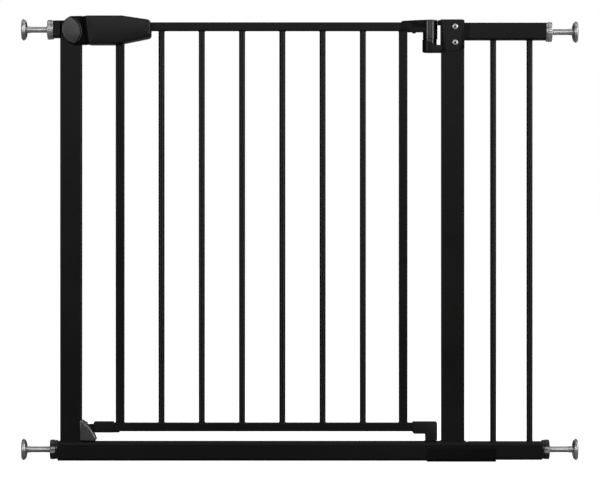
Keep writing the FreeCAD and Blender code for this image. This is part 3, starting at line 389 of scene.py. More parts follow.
def join(tree: bpy.types.NodeTree, *links: Link) -> None:
    """Join nodes of a tree, with each link given as source, output, target and input."""
    for source, output, target, entry in links:
        tree.links.new(source.outputs[output], target.inputs[entry])


@dataclass
class Effect:
    """A shader group with named sockets, built once and used in many materials."""

    name: str
    inputs: dict[str, float]
    outputs: dict[str, str]
    tree: bpy.types.NodeTree = field(init=False)

    def __post_init__(self) -> None:
        """Make the empty group and its sockets."""
        self.tree = bpy.data.node_groups.new(self.name, "ShaderNodeTree")
        for name, value in self.inputs.items():
            made = self.tree.interface.new_socket(name, in_out="INPUT", socket_type=VALUE)
            made.default_value = value
        for name, kind in self.outputs.items():
            self.tree.interface.new_socket(name, in_out="OUTPUT", socket_type=kind)
        self.start = self.tree.nodes.new("NodeGroupInput")
        self.end = self.tree.nodes.new("NodeGroupOutput")

    def noise(self, scale: str, **values: float) -> bpy.types.Node:
        """Add noise in the piece's own coordinates, with its scale from one of the inputs."""
        place = add_node(self.tree, "TexCoord")
        made = add_node(self.tree, "TexNoise", **values)
        join(self.tree, (place, "Object", made, "Vector"), (self.start, scale, made, "Scale"))
        return made


def make_grain() -> Effect:
    """The grain of a coat or moulding: fine relief, and slow changes of tone.

    Returns:
        The group, whose Height is relief and whose Tone goes from 0 to 1.
    """
    effect = Effect("surface_grain", {"Fine": 900.0, "Coarse": 12.0},
                    {"Height": VALUE, "Tone": VALUE})
    fine = effect.noise("Fine", in_Detail=3.0, in_Roughness=0.55)
    slow = effect.noise("Coarse", in_Detail=4.0, in_Roughness=0.6)
    tone = add_range(effect.tree, 0.3, 0.7)
    join(effect.tree, (slow, "Fac", tone, "Value"), (fine, "Fac", effect.end, "Height"),
         (tone, "Result", effect.end, "Tone"))
    return effect


def make_edge_rub() -> Effect:
    """Edges that handling has worn, and their softened normal; the same mask carries the catch's painted
    highlight.

    Returns:
        The group, whose Mask is 1 on a worn edge and whose Normal rounds it.
    """
    effect = Effect("edge_rub", {"Reach": 0.0008, "Breakup": 140.0},
                    {"Mask": VALUE, "Normal": DIRECTION})
    tree = effect.tree
    soft = add_node(tree, "Bevel", samples=4)
    true = add_node(tree, "NewGeometry")
    facing = add_node(tree, "VectorMath", operation="DOT_PRODUCT")
    away = add_range(tree, 0.96, 0.80)
    chips = effect.noise("Breakup", in_Detail=5.0)
    worn = add_range(tree, 0.35, 0.65)
    mask = add_node(tree, "Math", operation="MULTIPLY")
    join(tree, (effect.start, "Reach", soft, "Radius"), (soft, "Normal", facing, 0),
         (true, "Normal", facing, 1), (facing, "Value", away, "Value"),
         (chips, "Fac", worn, "Value"), (away, "Result", mask, 0), (worn, "Result", mask, 1),
         (mask, 0, effect.end, "Mask"), (soft, "Normal", effect.end, "Normal"))
    return effect


def make_dust() -> Effect:
    """House dust that settles on what faces up.

    Returns:
        The group, whose Mask is the share of the surface that dust covers.
    """
    effect = Effect("settled_dust", {"Amount": 0.2, "Fleck": 2600.0}, {"Mask": VALUE})
    tree = effect.tree
    facing = add_node(tree, "NewGeometry")
    parts = add_node(tree, "SeparateXYZ")
    upward = add_range(tree, 0.2, 1.0)
    flecks = effect.noise("Fleck", in_Detail=2.0)
    few = add_range(tree, 0.5, 0.72)
    lying = add_node(tree, "Math", operation="MULTIPLY")
    amount = add_node(tree, "Math", operation="MULTIPLY")
    join(tree, (facing, "Normal", parts, 0), (parts, "Z", upward, "Value"),
         (flecks, "Fac", few, "Value"), (upward, "Result", lying, 0), (few, "Result", lying, 1),
         (lying, 0, amount, 0), (effect.start, "Amount", amount, 1),
         (amount, 0, effect.end, "Mask"))
    return effect


# --- finishes
DUST = (0.42, 0.40, 0.37)


def grey(level: float) -> Colour:
    """A neutral colour."""
    return level, level, level


@dataclass(frozen=True)
class Finish:
    """One finish of the gate, from its colours, gloss and relief."""

    name: str
    deep: Colour
    pale: Colour
    # Colour of worn edges; on the catch it is a painted highlight on the bevel.
    rubbed: Colour
    gloss: Point
    shine: float = 0.5
    metal: float = 0.0
    fine: float = 2100.0
    coarse: float = 16.0
    relief: float = 0.00001
    reach: float = 0.0006
    dust: float = 0.01
    coat: float = 0.0
    coat_roughness: float = 0.12
    bump: float = 0.7

    def make(self, effects: dict[str, Effect]) -> bpy.types.Material:
        """Build the finish as a material.

        Args:
            effects: The shared shader groups by name.

        Returns:
            The material.
        """
        material = bpy.data.materials.new(self.name)
        material.use_nodes = True
        tree = material.node_tree
        tree.nodes.clear()
        out = add_node(tree, "OutputMaterial")
        skin = add_node(tree, "BsdfPrincipled", in_Metallic=self.metal,
                        in_Specular_IOR_Level=self.shine, in_Coat_Weight=self.coat,
                        in_Coat_Roughness=self.coat_roughness)
        grain = add_node(tree, "Group", node_tree=effects["grain"].tree,
                         in_Fine=self.fine, in_Coarse=self.coarse)
        edge = add_node(tree, "Group", node_tree=effects["edge"].tree, in_Reach=self.reach)
        dust = add_node(tree, "Group", node_tree=effects["dust"].tree, in_Amount=self.dust)
        rough = add_range(tree, 0.0, 1.0, self.gloss)
        bump = add_node(tree, "Bump", in_Strength=self.bump, in_Distance=self.relief)
        layers = []
        # The edge layer is worn edges on most finishes and painted highlight on the catch's bevel.
        for group, mask, over in ((grain, "Tone", self.pale), (edge, "Mask", self.rubbed),
                                  (dust, "Mask", DUST)):
            layer = add_node(tree, "Mix", data_type="RGBA", in_A=(*self.deep, 1.0),
                             in_B=(*over, 1.0))
            join(tree, (group, mask, layer, "Factor"))
            if layers:
                join(tree, (layers[-1], "Result", layer, "A"))
            layers.append(layer)
        join(tree, (grain, "Tone", rough, "Value"), (grain, "Height", bump, "Height"),
             (edge, "Normal", bump, "Normal"), (layers[-1], "Result", skin, "Base Color"),
             (rough, "Result", skin, "Roughness"), (bump, "Normal", skin, "Normal"),
             (skin, 0, out, "Surface"))
        return material


FINISHES = {
    Slot.POWDER: Finish(
        "satin_black_powder_coat", deep=(0.0034, 0.0034, 0.0032), pale=(0.0047, 0.0048, 0.0043),
        rubbed=grey(0.010), gloss=(0.29, 0.36), shine=0.13, fine=780.0, coarse=9.0, reach=0.0007,
    ),
    Slot.PLASTIC: Finish(
        "fine_textured_black_moulding", deep=(0.0022, 0.0022, 0.0023), pale=grey(0.0034),
        rubbed=grey(0.008), gloss=(0.28, 0.36), shine=0.09, relief=0.000012, dust=0.015,
    ),
    # The catch's edge colour, far lighter than its moulding, is a painted highlight on the bevel of its slope.
    Slot.CATCH: Finish(
        "dark_grey_polished_moulding", deep=(0.011, 0.011, 0.012), pale=(0.019, 0.019, 0.020),
        rubbed=grey(0.14), gloss=(0.16, 0.22), shine=0.9, fine=1500.0, coarse=22.0,
        relief=0.000006, dust=0.02, coat=1.0,
    ),
    Slot.ZINC: Finish(
        "bright_zinc_plate", deep=(0.36, 0.37, 0.38), pale=grey(0.48), rubbed=(0.54, 0.54, 0.53),
        gloss=(0.29, 0.37), metal=1.0, fine=1400.0, coarse=60.0, relief=0.000008, reach=0.0004,
    ),
    Slot.SPRING: Finish(
        "drawn_spring_wire", deep=(0.34, 0.34, 0.35), pale=grey(0.50), rubbed=grey(0.60),
        gloss=(0.25, 0.40), metal=1.0, fine=2400.0, coarse=120.0, reach=0.0002, dust=0.0,
    ),
    Slot.RUBBER: Finish(
        "matt_grey_rubber", deep=(0.30, 0.30, 0.29), pale=(0.37, 0.37, 0.36),
        rubbed=(0.44, 0.44, 0.43), gloss=(0.70, 0.85), shine=0.3, fine=1700.0, coarse=40.0,
        relief=0.00005, dust=0.05,
    ),
}
GRIP = Finish(
    "satin_black_grip", deep=(0.0046, 0.0046, 0.0047), pale=grey(0.0066), rubbed=grey(0.012),
    gloss=(0.27, 0.35), shine=0.17, relief=0.000012,
)
CASTING = Finish(
    "polished_black_casting", deep=(0.0014, 0.0014, 0.0015), pale=grey(0.0022),
    rubbed=grey(0.010), gloss=(0.18, 0.25), shine=0.42,
)
# Painted shade: a black darker than the moulding, for the handle's seam recess, the lock cap housing and its lower
# lip, the screw sockets' floors and the tube joint's gap.
PAINTED_SHADE_BLACK = Finish(
    "matt_black_core", deep=grey(0.0014), pale=grey(0.0022), rubbed=grey(0.004),
    gloss=(0.45, 0.55), shine=0.06, fine=1800.0, coarse=20.0, reach=0.0005, dust=0.0,
)
KNOB = Finish(
    "glossy_black_knob", deep=(0.0030, 0.0030, 0.0032), pale=(0.0042, 0.0042, 0.0044),
    rubbed=grey(0.008), gloss=(0.16, 0.22), shine=0.35, fine=1200.0, coarse=40.0,
    relief=0.000004, coat=0.2,
)
# The cap face is grey moulding made lighter as painted highlight, for the light that its face catches.
LENS_PAINTED_HIGHLIGHT = Finish(
    "satin_grey_cap_face", deep=(0.020, 0.021, 0.021), pale=(0.028, 0.029, 0.029),
    rubbed=grey(0.045), gloss=(0.30, 0.38), fine=1900.0, coarse=26.0, relief=0.000008,
    reach=0.0005,
)
BLACKENED = Finish(
    "blackened_screw_steel", deep=grey(0.012), pale=grey(0.020), rubbed=grey(0.05),
    gloss=(0.30, 0.40), metal=0.6, fine=1600.0, coarse=60.0, reach=0.0002, dust=0.0,
)


class Workshop:
    """The finishes, made once, and what the frame says about its nodes and hinge."""

    def __init__(self) -> None:
        """Make the shared groups and every finish."""
        effects = {"grain": make_grain(), "edge": make_edge_rub(), "dust": make_dust()}
        self.looks = {slot: Look(finish.make(effects), slot) for slot, finish in FINISHES.items()}
        self.coat, self.zinc = self.looks[Slot.POWDER], self.looks[Slot.ZINC]
        # core is the painted-shade black, darker than the plastic; lens is the cap's grey face with painted
        # highlight.
        self.knob, self.grip, self.casting, self.core, self.lens = (
            Look(finish.make(effects), Slot.PLASTIC)
            for finish in (KNOB, GRIP, CASTING, PAINTED_SHADE_BLACK, LENS_PAINTED_HIGHLIGHT)
        )
        self.blackened = BLACKENED.make(effects)
        rows = frame["record"]["subparts"]
        self.slots = {row["node"]: Slot(row["material_slot"]) for row in rows}
        swing = next(joint for joint in frame["joints"] if joint["name"] == "leaf_swing")
        self.hinge_x = swing["pos_m"][0]

    def dress_frame(self) -> None:
        """Give every node of the frame the finish of its slot, but the knuckle's fixing screw a blackened one."""
        for name, node in frame["nodes"].items():
            dark = name == "knuckle_fixing_screw"
            plain = self.looks[self.slots[name]].material
            node.data.materials.clear()
            node.data.materials.append(self.blackened if dark else plain)
        LOG.info("dressed %d nodes of the frame", len(frame["nodes"]))


# --- clamping spindles
@dataclass
class Spindle:
    """One clamping spindle: threaded rod, pressed wall plate, rubber pad and hand wheel."""

    corner: str
    pitch: float = 1.5 * MM
    thread_depth: float = 0.20 * MM
    flank_slope: float = 1.5
    crest: float = 0.25
    rows_a_turn: int = 6
    lead_in: float = 1.2 * MM
    lead_slope: float = 0.7
    neck_wall: float = 0.4 * MM
    dish_start: float = 0.42
    dish_depth: float = 0.36
    dish_rim: float = 0.94
    dish_floor: float = 0.9
    plate_skin: float = 0.96 * MM
    pad_root: float = 0.8 * MM
    pad_edge: float = 0.5 * MM
    pad_rings: int = 5
    pad_groove: float = 0.45 * MM
    rows_a_ring: int = 6
    flutes: int = 18
    flute_depth: float = 0.25 * MM
    flange: float = 0.30
    groove: float = 1.1 * MM
    wheel_round: float = 1.5 * MM
    bore_gap: float = 0.25 * MM

    def __post_init__(self) -> None:
        """Find the spindle's side, axis and radius in the frame."""
        low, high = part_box(f"spindle_rod_{self.corner}")
        self.side = 1.0 if (low.x + high.x) > 0 else -1.0
        self.radius = (high.y - low.y) / 2
        self.along = X_AXIS * self.side
        self.height = (low.z + high.z) / 2
        self.metal_wheel = self.corner.startswith("top")

    def _span(self, node: str) -> tuple[Vector, float, float]:
        """Where one of the spindle's nodes starts on its axis, its length and its radius."""
        low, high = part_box(f"{node}_{self.corner}")
        start = Vector((low.x if self.side > 0 else high.x, 0.0, self.height))
        return start, high.x - low.x, (high.z - low.z) / 2

    def build(self, shop: Workshop) -> None:
        """Make the spindle's pieces."""
        # The black wheels get a zinc block at the rim as painted highlight.
        if not self.metal_wheel:
            self._highlight_block().build(f"wheel_nut_{self.corner}", shop.zinc, f"wheel_{self.corner}")
        rubber, grip = shop.looks[Slot.RUBBER], shop.zinc if self.metal_wheel else shop.knob
        for name, form, look, body, node, sharp in (
            ("threaded_rod", self._rod(), shop.zinc, "spindle", "spindle_rod", 60.0),
            ("pressed_plate", self._plate(), shop.zinc, "spindle", "wall_plate", 40.0),
            ("ribbed_pad", self._pad(), rubber, "spindle", "wall_pad", 32.0),
            ("grip_wheel", self._wheel(), grip, "wheel", "hand_wheel", 38.0),
        ):
            form.build(f"{name}_{self.corner}", look, f"{body}_{self.corner}",
                       [f"{node}_{self.corner}"], sharp)

    def _rod(self) -> Form:
        """The rod, with its thread cut as a helix."""
        start, length, _radius = self._span("spindle_rod")
        step = self.pitch / self.rows_a_turn
        rows = [(step * k, self.radius) for k in range(int(length / step))]

        def thread(angle: float, distance: float, radius: float) -> float:
            """The radius on the thread's flank, and on the point at the rod's inner end."""
            turn = (distance / self.pitch - angle / (2 * math.pi)) % 1.0
            flank = abs(2 * turn - 1) * self.flank_slope - self.crest
            cut = self.thread_depth * min(1.0, max(0.0, flank))
            return radius - max(cut, max(0.0, self.lead_in - distance) * self.lead_slope)

        form = Form()
        form.lathe([(0.0, 0.0), *rows, (length, self.radius), (length, 0.0)], start, self.along,
                   segments=28, shaped=thread)
        return form

    def _plate(self) -> Form:
        """The plate: a thin dish with a rolled rim and a trumpet neck welded to the rod."""
        start, depth, rim = self._span("wall_plate")
        neck, swell = self.radius + self.neck_wall, depth * self.dish_start
        back = [
            (swell + (depth * self.dish_depth) * (1 - math.cos(turn)),
             neck + (rim * self.dish_rim - neck) * math.sin(turn))
            for turn in quarter(12)[1:]
        ]
        lip, fall = (depth - back[-1][0]) / 2, rim * (1 - self.dish_rim)
        rolled = [
            (back[-1][0] + lip * (1 - math.cos(turn)), rim - fall * (1 - math.sin(turn)))
            for turn in (math.pi * k / 8 for k in range(1, 9))
        ]
        inside = depth - self.plate_skin
        form = Form()
        form.lathe([(0.0, 0.0), (0.0, self.radius + 0.1 * MM), (0.8 * MM, neck), (swell, neck),
                    *back, *rolled, (inside, rim * self.dish_floor), (inside, 0.0)],
                   start, self.along, segments=72)
        return form

    def _pad(self) -> Form:
        """The rubber pad, with moulded rings on its face."""
        start, face, radius = self._span("wall_pad")
        rows = self.rows_a_ring * self.pad_rings
        ridged = []
        for k in range(rows):
            wave = 0.5 + 0.5 * math.cos(2 * math.pi * k / self.rows_a_ring)
            ridged.append((face - self.pad_groove * (1 - wave),
                           (radius - self.pad_edge) * (1 - k / rows)))
        form = Form()
        form.lathe([(-self.pad_root, 0.0), (-self.pad_root, radius),
                    (face - self.pad_edge, radius), *ridged, (face, 0.0)],
                   start, self.along, segments=56)
        return form

    def _wheel(self) -> Form:
        """The hand wheel: a fluted grip, a plain flange beside the tube, and a sunk hub."""
        start, width, radius = self._span("hand_wheel")
        bore, flange = self.radius + self.bore_gap, width * self.flange
        plain, groove, hub = radius - 0.4 * MM, radius - self.groove, width - 0.2 * MM
        outer = [
            (width - self.wheel_round * (1 - math.sin(turn)),
             radius - self.wheel_round * (1 - math.cos(turn)))
            for turn in quarter(6)
        ]
        profile = [
            (0.0, bore), (0.0, radius - 0.9 * MM), (0.5 * MM, plain), (flange - 0.6 * MM, plain),
            (flange - 0.2 * MM, groove), (flange + 0.3 * MM, groove), (flange + 0.8 * MM, radius),
            *outer, (width, radius * 0.66), (width - 1.2 * MM, radius * 0.60),
            (width - 1.2 * MM, radius * 0.44), (hub, radius * 0.42), (hub, bore),
        ]

        def fluted(angle: float, distance: float, at: float) -> float:
            """The radius on the grip, which is lower in a flute."""
            if distance < flange + 0.5 * MM or at < radius * 0.8:
                return at
            return at - self.flute_depth * max(0.0, math.cos(self.flutes * angle)) ** 3

        form = Form()
        form.lathe(profile, start, self.along, segments=self.flutes * 10, closed=True,
                   shaped=fluted)
        return form

    def _highlight_block(self) -> Form:
        """A zinc block through the moulded wheel that shows at its rim on the front and back as a painted
        highlight band.
        """
        start, width, radius = self._span("hand_wheel")
        ends = sorted(start.x + self.side * width * share for share in (0.30, 0.94))
        half, inner, outer = self.radius * 0.98, self.radius + 1 * MM, radius - 0.05 * MM
        outline = rectangle(ends, (self.height - half, self.height + half), 1 * MM)
        form = Form()
        for ends in both_sides(inner, outer):
            form.prism(outline, ends, 0.8 * MM)
        return form


# --- handle and lock
@dataclass
class Handle:
    """The leaf's handle: two crowned covers on a seam and collar in painted-shade black, and the thumb button."""

    slant: float = 8.7 * MM
    flat: float = 65.0 * MM
    end_drop: float = 5.8 * MM
    end_height: float = 29.6 * MM
    spine_insets: Point = (27.0 * MM, 16.0 * MM)
    spine_rise: float = 3.2 * MM
    rim: float = 3.4 * MM
    crown: float = 0.7 * MM
    seam: float = 0.35 * MM
    collar: Point = (5.4 * MM, 2.5 * MM)
    collar_depth: float = 10.0 * MM
    collar_widths: Point = (12.0 * MM, 14.0 * MM)
    cap: Corner = (6.6 * MM, 6.0 * MM, 5.0 * MM)
    ribs: int = 5
    rib_pitch: float = 2.2 * MM
    rib: Corner = (0.5 * MM, 4.4 * MM, 0.6 * MM)
    stem: float = 3.4 * MM

    def _outline(self, inset: float = 0.0, start: Point = (0.0, 0.0)) -> list[Point]:
        """The handle's side, smaller by an inset, and by more at its left end's top and foot."""
        low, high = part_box("handle_front_shell")
        left, right = low.x + inset, high.x - inset
        floor, top = low.z + inset, high.z - inset
        end_top = top - self.end_drop
        end_low = end_top - self.end_height + 2 * inset
        return rounded([
            (left + self.slant + start[1], floor, 2.0 * MM),
            (left + self.flat - self.slant, floor, 26.0 * MM),
            (right, end_low, 6.0 * MM), (right, end_top - 1.2 * MM, 6.0 * MM),
            (left + self.flat, top, 30.0 * MM), (left + start[0], top, 1.6 * MM),
        ], steps=8)

    def build(self, shop: Workshop) -> None:
        """Make the covers, the collar in their seam and the button."""
        low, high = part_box("handle_front_shell")
        middle = (low.z + high.z) / 2
        spine = ((low.x + self.spine_insets[0], middle),
                 (high.x - self.spine_insets[1], middle + self.spine_rise))
        outline = self._outline(start=self.collar)
        for side, ends in zip(Side, both_sides(self.seam, abs(low.y))):
            word, form = side.name.lower(), Form()
            form.pillow(outline, spine, ends, self.rim, self.crown, steps=8)
            form.build(f"handle_{word}_cover", shop.grip, "gate_leaf", [f"handle_{word}_shell"],
                       sharp=50.0)
        foot, head, start = low.z + 0.2 * MM, high.z - 0.2 * MM, low.x + self.slant
        form = Form()
        form.prism(self._outline(0.5 * MM), (-2 * self.seam, 2 * self.seam))
        form.prism(rounded([
            (start, foot, 0.5 * MM), (start + self.collar_widths[0], foot, 0.0),
            (low.x + self.collar_widths[1], head, 0.0), (low.x, head, 0.5 * MM),
        ]), (-self.collar_depth, self.collar_depth), 1.2 * MM)
        # The seam and the recessed collar take the painted-shade black, darker than the covers, for the shade in
        # the recess.
        form.build("handle_collar", shop.core, "gate_leaf")
        self._button(shop)

    def _button(self, shop: Workshop) -> None:
        """The thumb button: a rounded cap with ribs across it, on its stem."""
        low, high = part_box("thumb_button")
        middle, top = (low.x + high.x) / 2, high.z
        half, deep, tall = self.cap
        rib_half, rib_deep, rib_tall = self.rib
        form = Form()

        def block(x: float, size: Point, z: Point, corner: float, edge: float) -> None:
            """One upright block about X and the gate's middle plane."""
            form.prism(rectangle((x - size[0], x + size[0]), (-size[1], size[1]), corner), z,
                       edge, place=along_z)

        block(middle, (half, deep), (top - tall, top - 0.45 * MM), 2 * MM, 0.5 * MM)
        for k in range(self.ribs):
            x = middle + (k - (self.ribs - 1) / 2) * self.rib_pitch
            block(x, (rib_half, rib_deep), (top - rib_tall, top), 0.4 * MM, 0.2 * MM)
        block(middle, (self.stem, self.stem), (low.z, top - tall + 0.5 * MM), 0.8 * MM, 0.2 * MM)
        form.build("ribbed_thumb_button", shop.grip, "lock_slider", ["thumb_button"])


@dataclass
class LockCap:
    """The keeper housing on the latch post, with its lens-shaped faces.

    Fields without MM are shares of the housing's height. They run across from its left edge and
    down from its top, but jaw rises from its floor and spine_insets close in from both sides.
    """

    rim: float = 3.0 * MM
    crown: float = 0.8 * MM
    lens_rise: float = 4.6 * MM
    lens_rim: float = 1.2 * MM
    lens_sunk: float = 8.0 * MM
    # How far the housing's dark lower edge hangs below the handle's floor onto the post, as the cap's painted
    # shadow.
    lip: float = 1.6 * MM
    lift: float = 10.0 * MM
    play: float = 0.8 * MM
    roof: float = 17.0 * MM
    crest: float = 0.34
    brow: Point = (0.09, 0.20)
    nose: float = 0.46
    jaw: Point = (0.14, 0.20)
    chin: float = 0.50
    spine_insets: Point = (0.42, 0.14)
    lens_ends: Point = (0.30, 0.485)
    lens_middles: tuple[Point, Point] = ((0.33, 0.36), (0.42, 0.62))
    lens_bulge: Point = (0.68, 0.50)
    rim_bulges: Point = (0.735, 0.708)
    rim_depths: Point = (1.6 * MM, 6.0 * MM)

    def __post_init__(self) -> None:
        """Find the housing's extent in the frame."""
        low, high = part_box("lock_cap")
        handle_low, handle_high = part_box("handle_front_shell")
        self.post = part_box("left_post")[1]
        self.left, self.lean = low.x, high.x
        self.floor, self.top = handle_low.z, handle_high.z
        self.height = self.top - self.floor
        self.right_top = handle_low.x - 0.5 * MM
        self.depth = abs(low.y)

    def _at(self, across: float, down: float) -> Point:
        """The point at two shares of the height."""
        return self.left + across * self.height, self.top - down * self.height

    def build(self, shop: Workshop) -> None:
        """Make the housing, and a lens face with its raised rim on each side."""
        left, top, floor, height = self.left, self.top, self.floor, self.height
        nose, painted_shadow_foot = self._at(0.0, self.nose), floor - self.lip
        outline = [
            *arc((left + self.crest * height, top - 0.3 * MM), self._at(*self.brow), nose, 9),
            *arc(nose, (left + self.jaw[0] * height, floor + self.jaw[1] * height),
                 (left + self.chin * height, painted_shadow_foot), 9)[1:],
            (self.post.x - 1.0 * MM, painted_shadow_foot), (self.post.x, floor),
            (self.lean - 0.6 * MM, floor), (self.lean - 0.3 * MM, floor + 0.4 * MM),
            (self.right_top + 0.1 * MM, top - 0.5 * MM), (self.right_top - 0.3 * MM, top),
        ]
        middle = (floor + top) / 2
        spine = ((left + self.spine_insets[0] * height, middle),
                 (self.right_top - self.spine_insets[1] * height, middle))
        form = Form()
        for ends in both_sides(self.post.y, self.depth - self.lens_rise):
            form.pillow(outline, spine, ends, self.rim, self.crown)
        self._core(form)
        # The housing is in painted-shade black, and its lower lip is the cap's painted shadow on the post.
        form.build("lock_cap_housing", shop.core, "frame", ["lock_cap"], sharp=48.0)
        tip = (left + self.lens_ends[0] * height, top - 1.5 * MM)
        toe = (left + self.lens_ends[1] * height, floor + 1.3 * MM)
        lens = [
            *arc(tip, (left + 2.0 * MM, top - 0.43 * height), toe, 20),
            *arc(toe, self._at(*self.lens_bulge), tip, 20)[1:-1],
        ]
        core = tuple(self._at(*shares) for shares in self.lens_middles)
        # The lens faces and the rims beside them take the grey face finish with painted highlight.
        for side, ends in zip(Side, both_sides(self.depth - self.lens_sunk, self.depth)):
            form = Form()
            form.pillow(lens, core, ends, self.lens_rim, self.lens_rim)
            form.build(f"lock_cap_{side.name.lower()}_face", shop.lens, "frame", sharp=60.0)
        self._rims(tip, toe).build("lock_cap_rims", shop.lens, "frame")

    def _core(self, form: Form) -> None:
        """The housing's inside beyond and above the post, with the keeper slot for the bolt."""
        bolt_low, bolt_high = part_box("latch_bolt")
        start, deep = self.post.x + 0.05 * MM, self.post.y
        floor, top = self.floor, self.top

        def slab(z0: float, z1: float, depth: Point) -> None:
            """One block from the post to the housing's leaning face, between two heights."""
            shares = [(z - floor) / (top - floor) for z in (z0, z1)]
            run = self.right_top - self.lean
            ends = [self.lean + run * share - 0.8 * MM for share in shares]
            form.prism([(start, z0), (ends[0], z0), (ends[1], z1), (start, z1)], depth)

        slot_low, slot_top = bolt_low.z - self.play, bolt_high.z + self.lift + self.play
        slab(floor + 0.4 * MM, slot_low, (-deep, deep))
        slab(slot_top, top - 0.4 * MM, (-deep, deep))
        for ends in both_sides(bolt_high.y + self.play, deep):
            slab(slot_low, slot_top, ends)
        roof, under = start - self.roof, self.post.z + 0.05 * MM
        form.prism([(roof, under), (start, under), (start, top - 0.4 * MM),
                    (roof, top - 0.4 * MM)], (-deep, deep))

    def _rims(self, tip: Point, toe: Point) -> Form:
        """The thin raised rims beside the lens faces, towards the handle."""
        head = (tip[0] + 0.08 * self.height, tip[1] + 0.4 * MM)
        foot = (toe[0] + 0.05 * self.height, toe[1] - 0.4 * MM)
        line, inner = (arc(foot, self._at(bulge, 0.50), head, 20) for bulge in self.rim_bulges)
        form = Form()
        for side in Side:
            y = side.value * (self.depth - self.rim_depths[0])
            form.prism([*line, *reversed(inner[1:-1])], (y - side.value * self.rim_depths[1], y),
                       0.2 * MM)
        return form


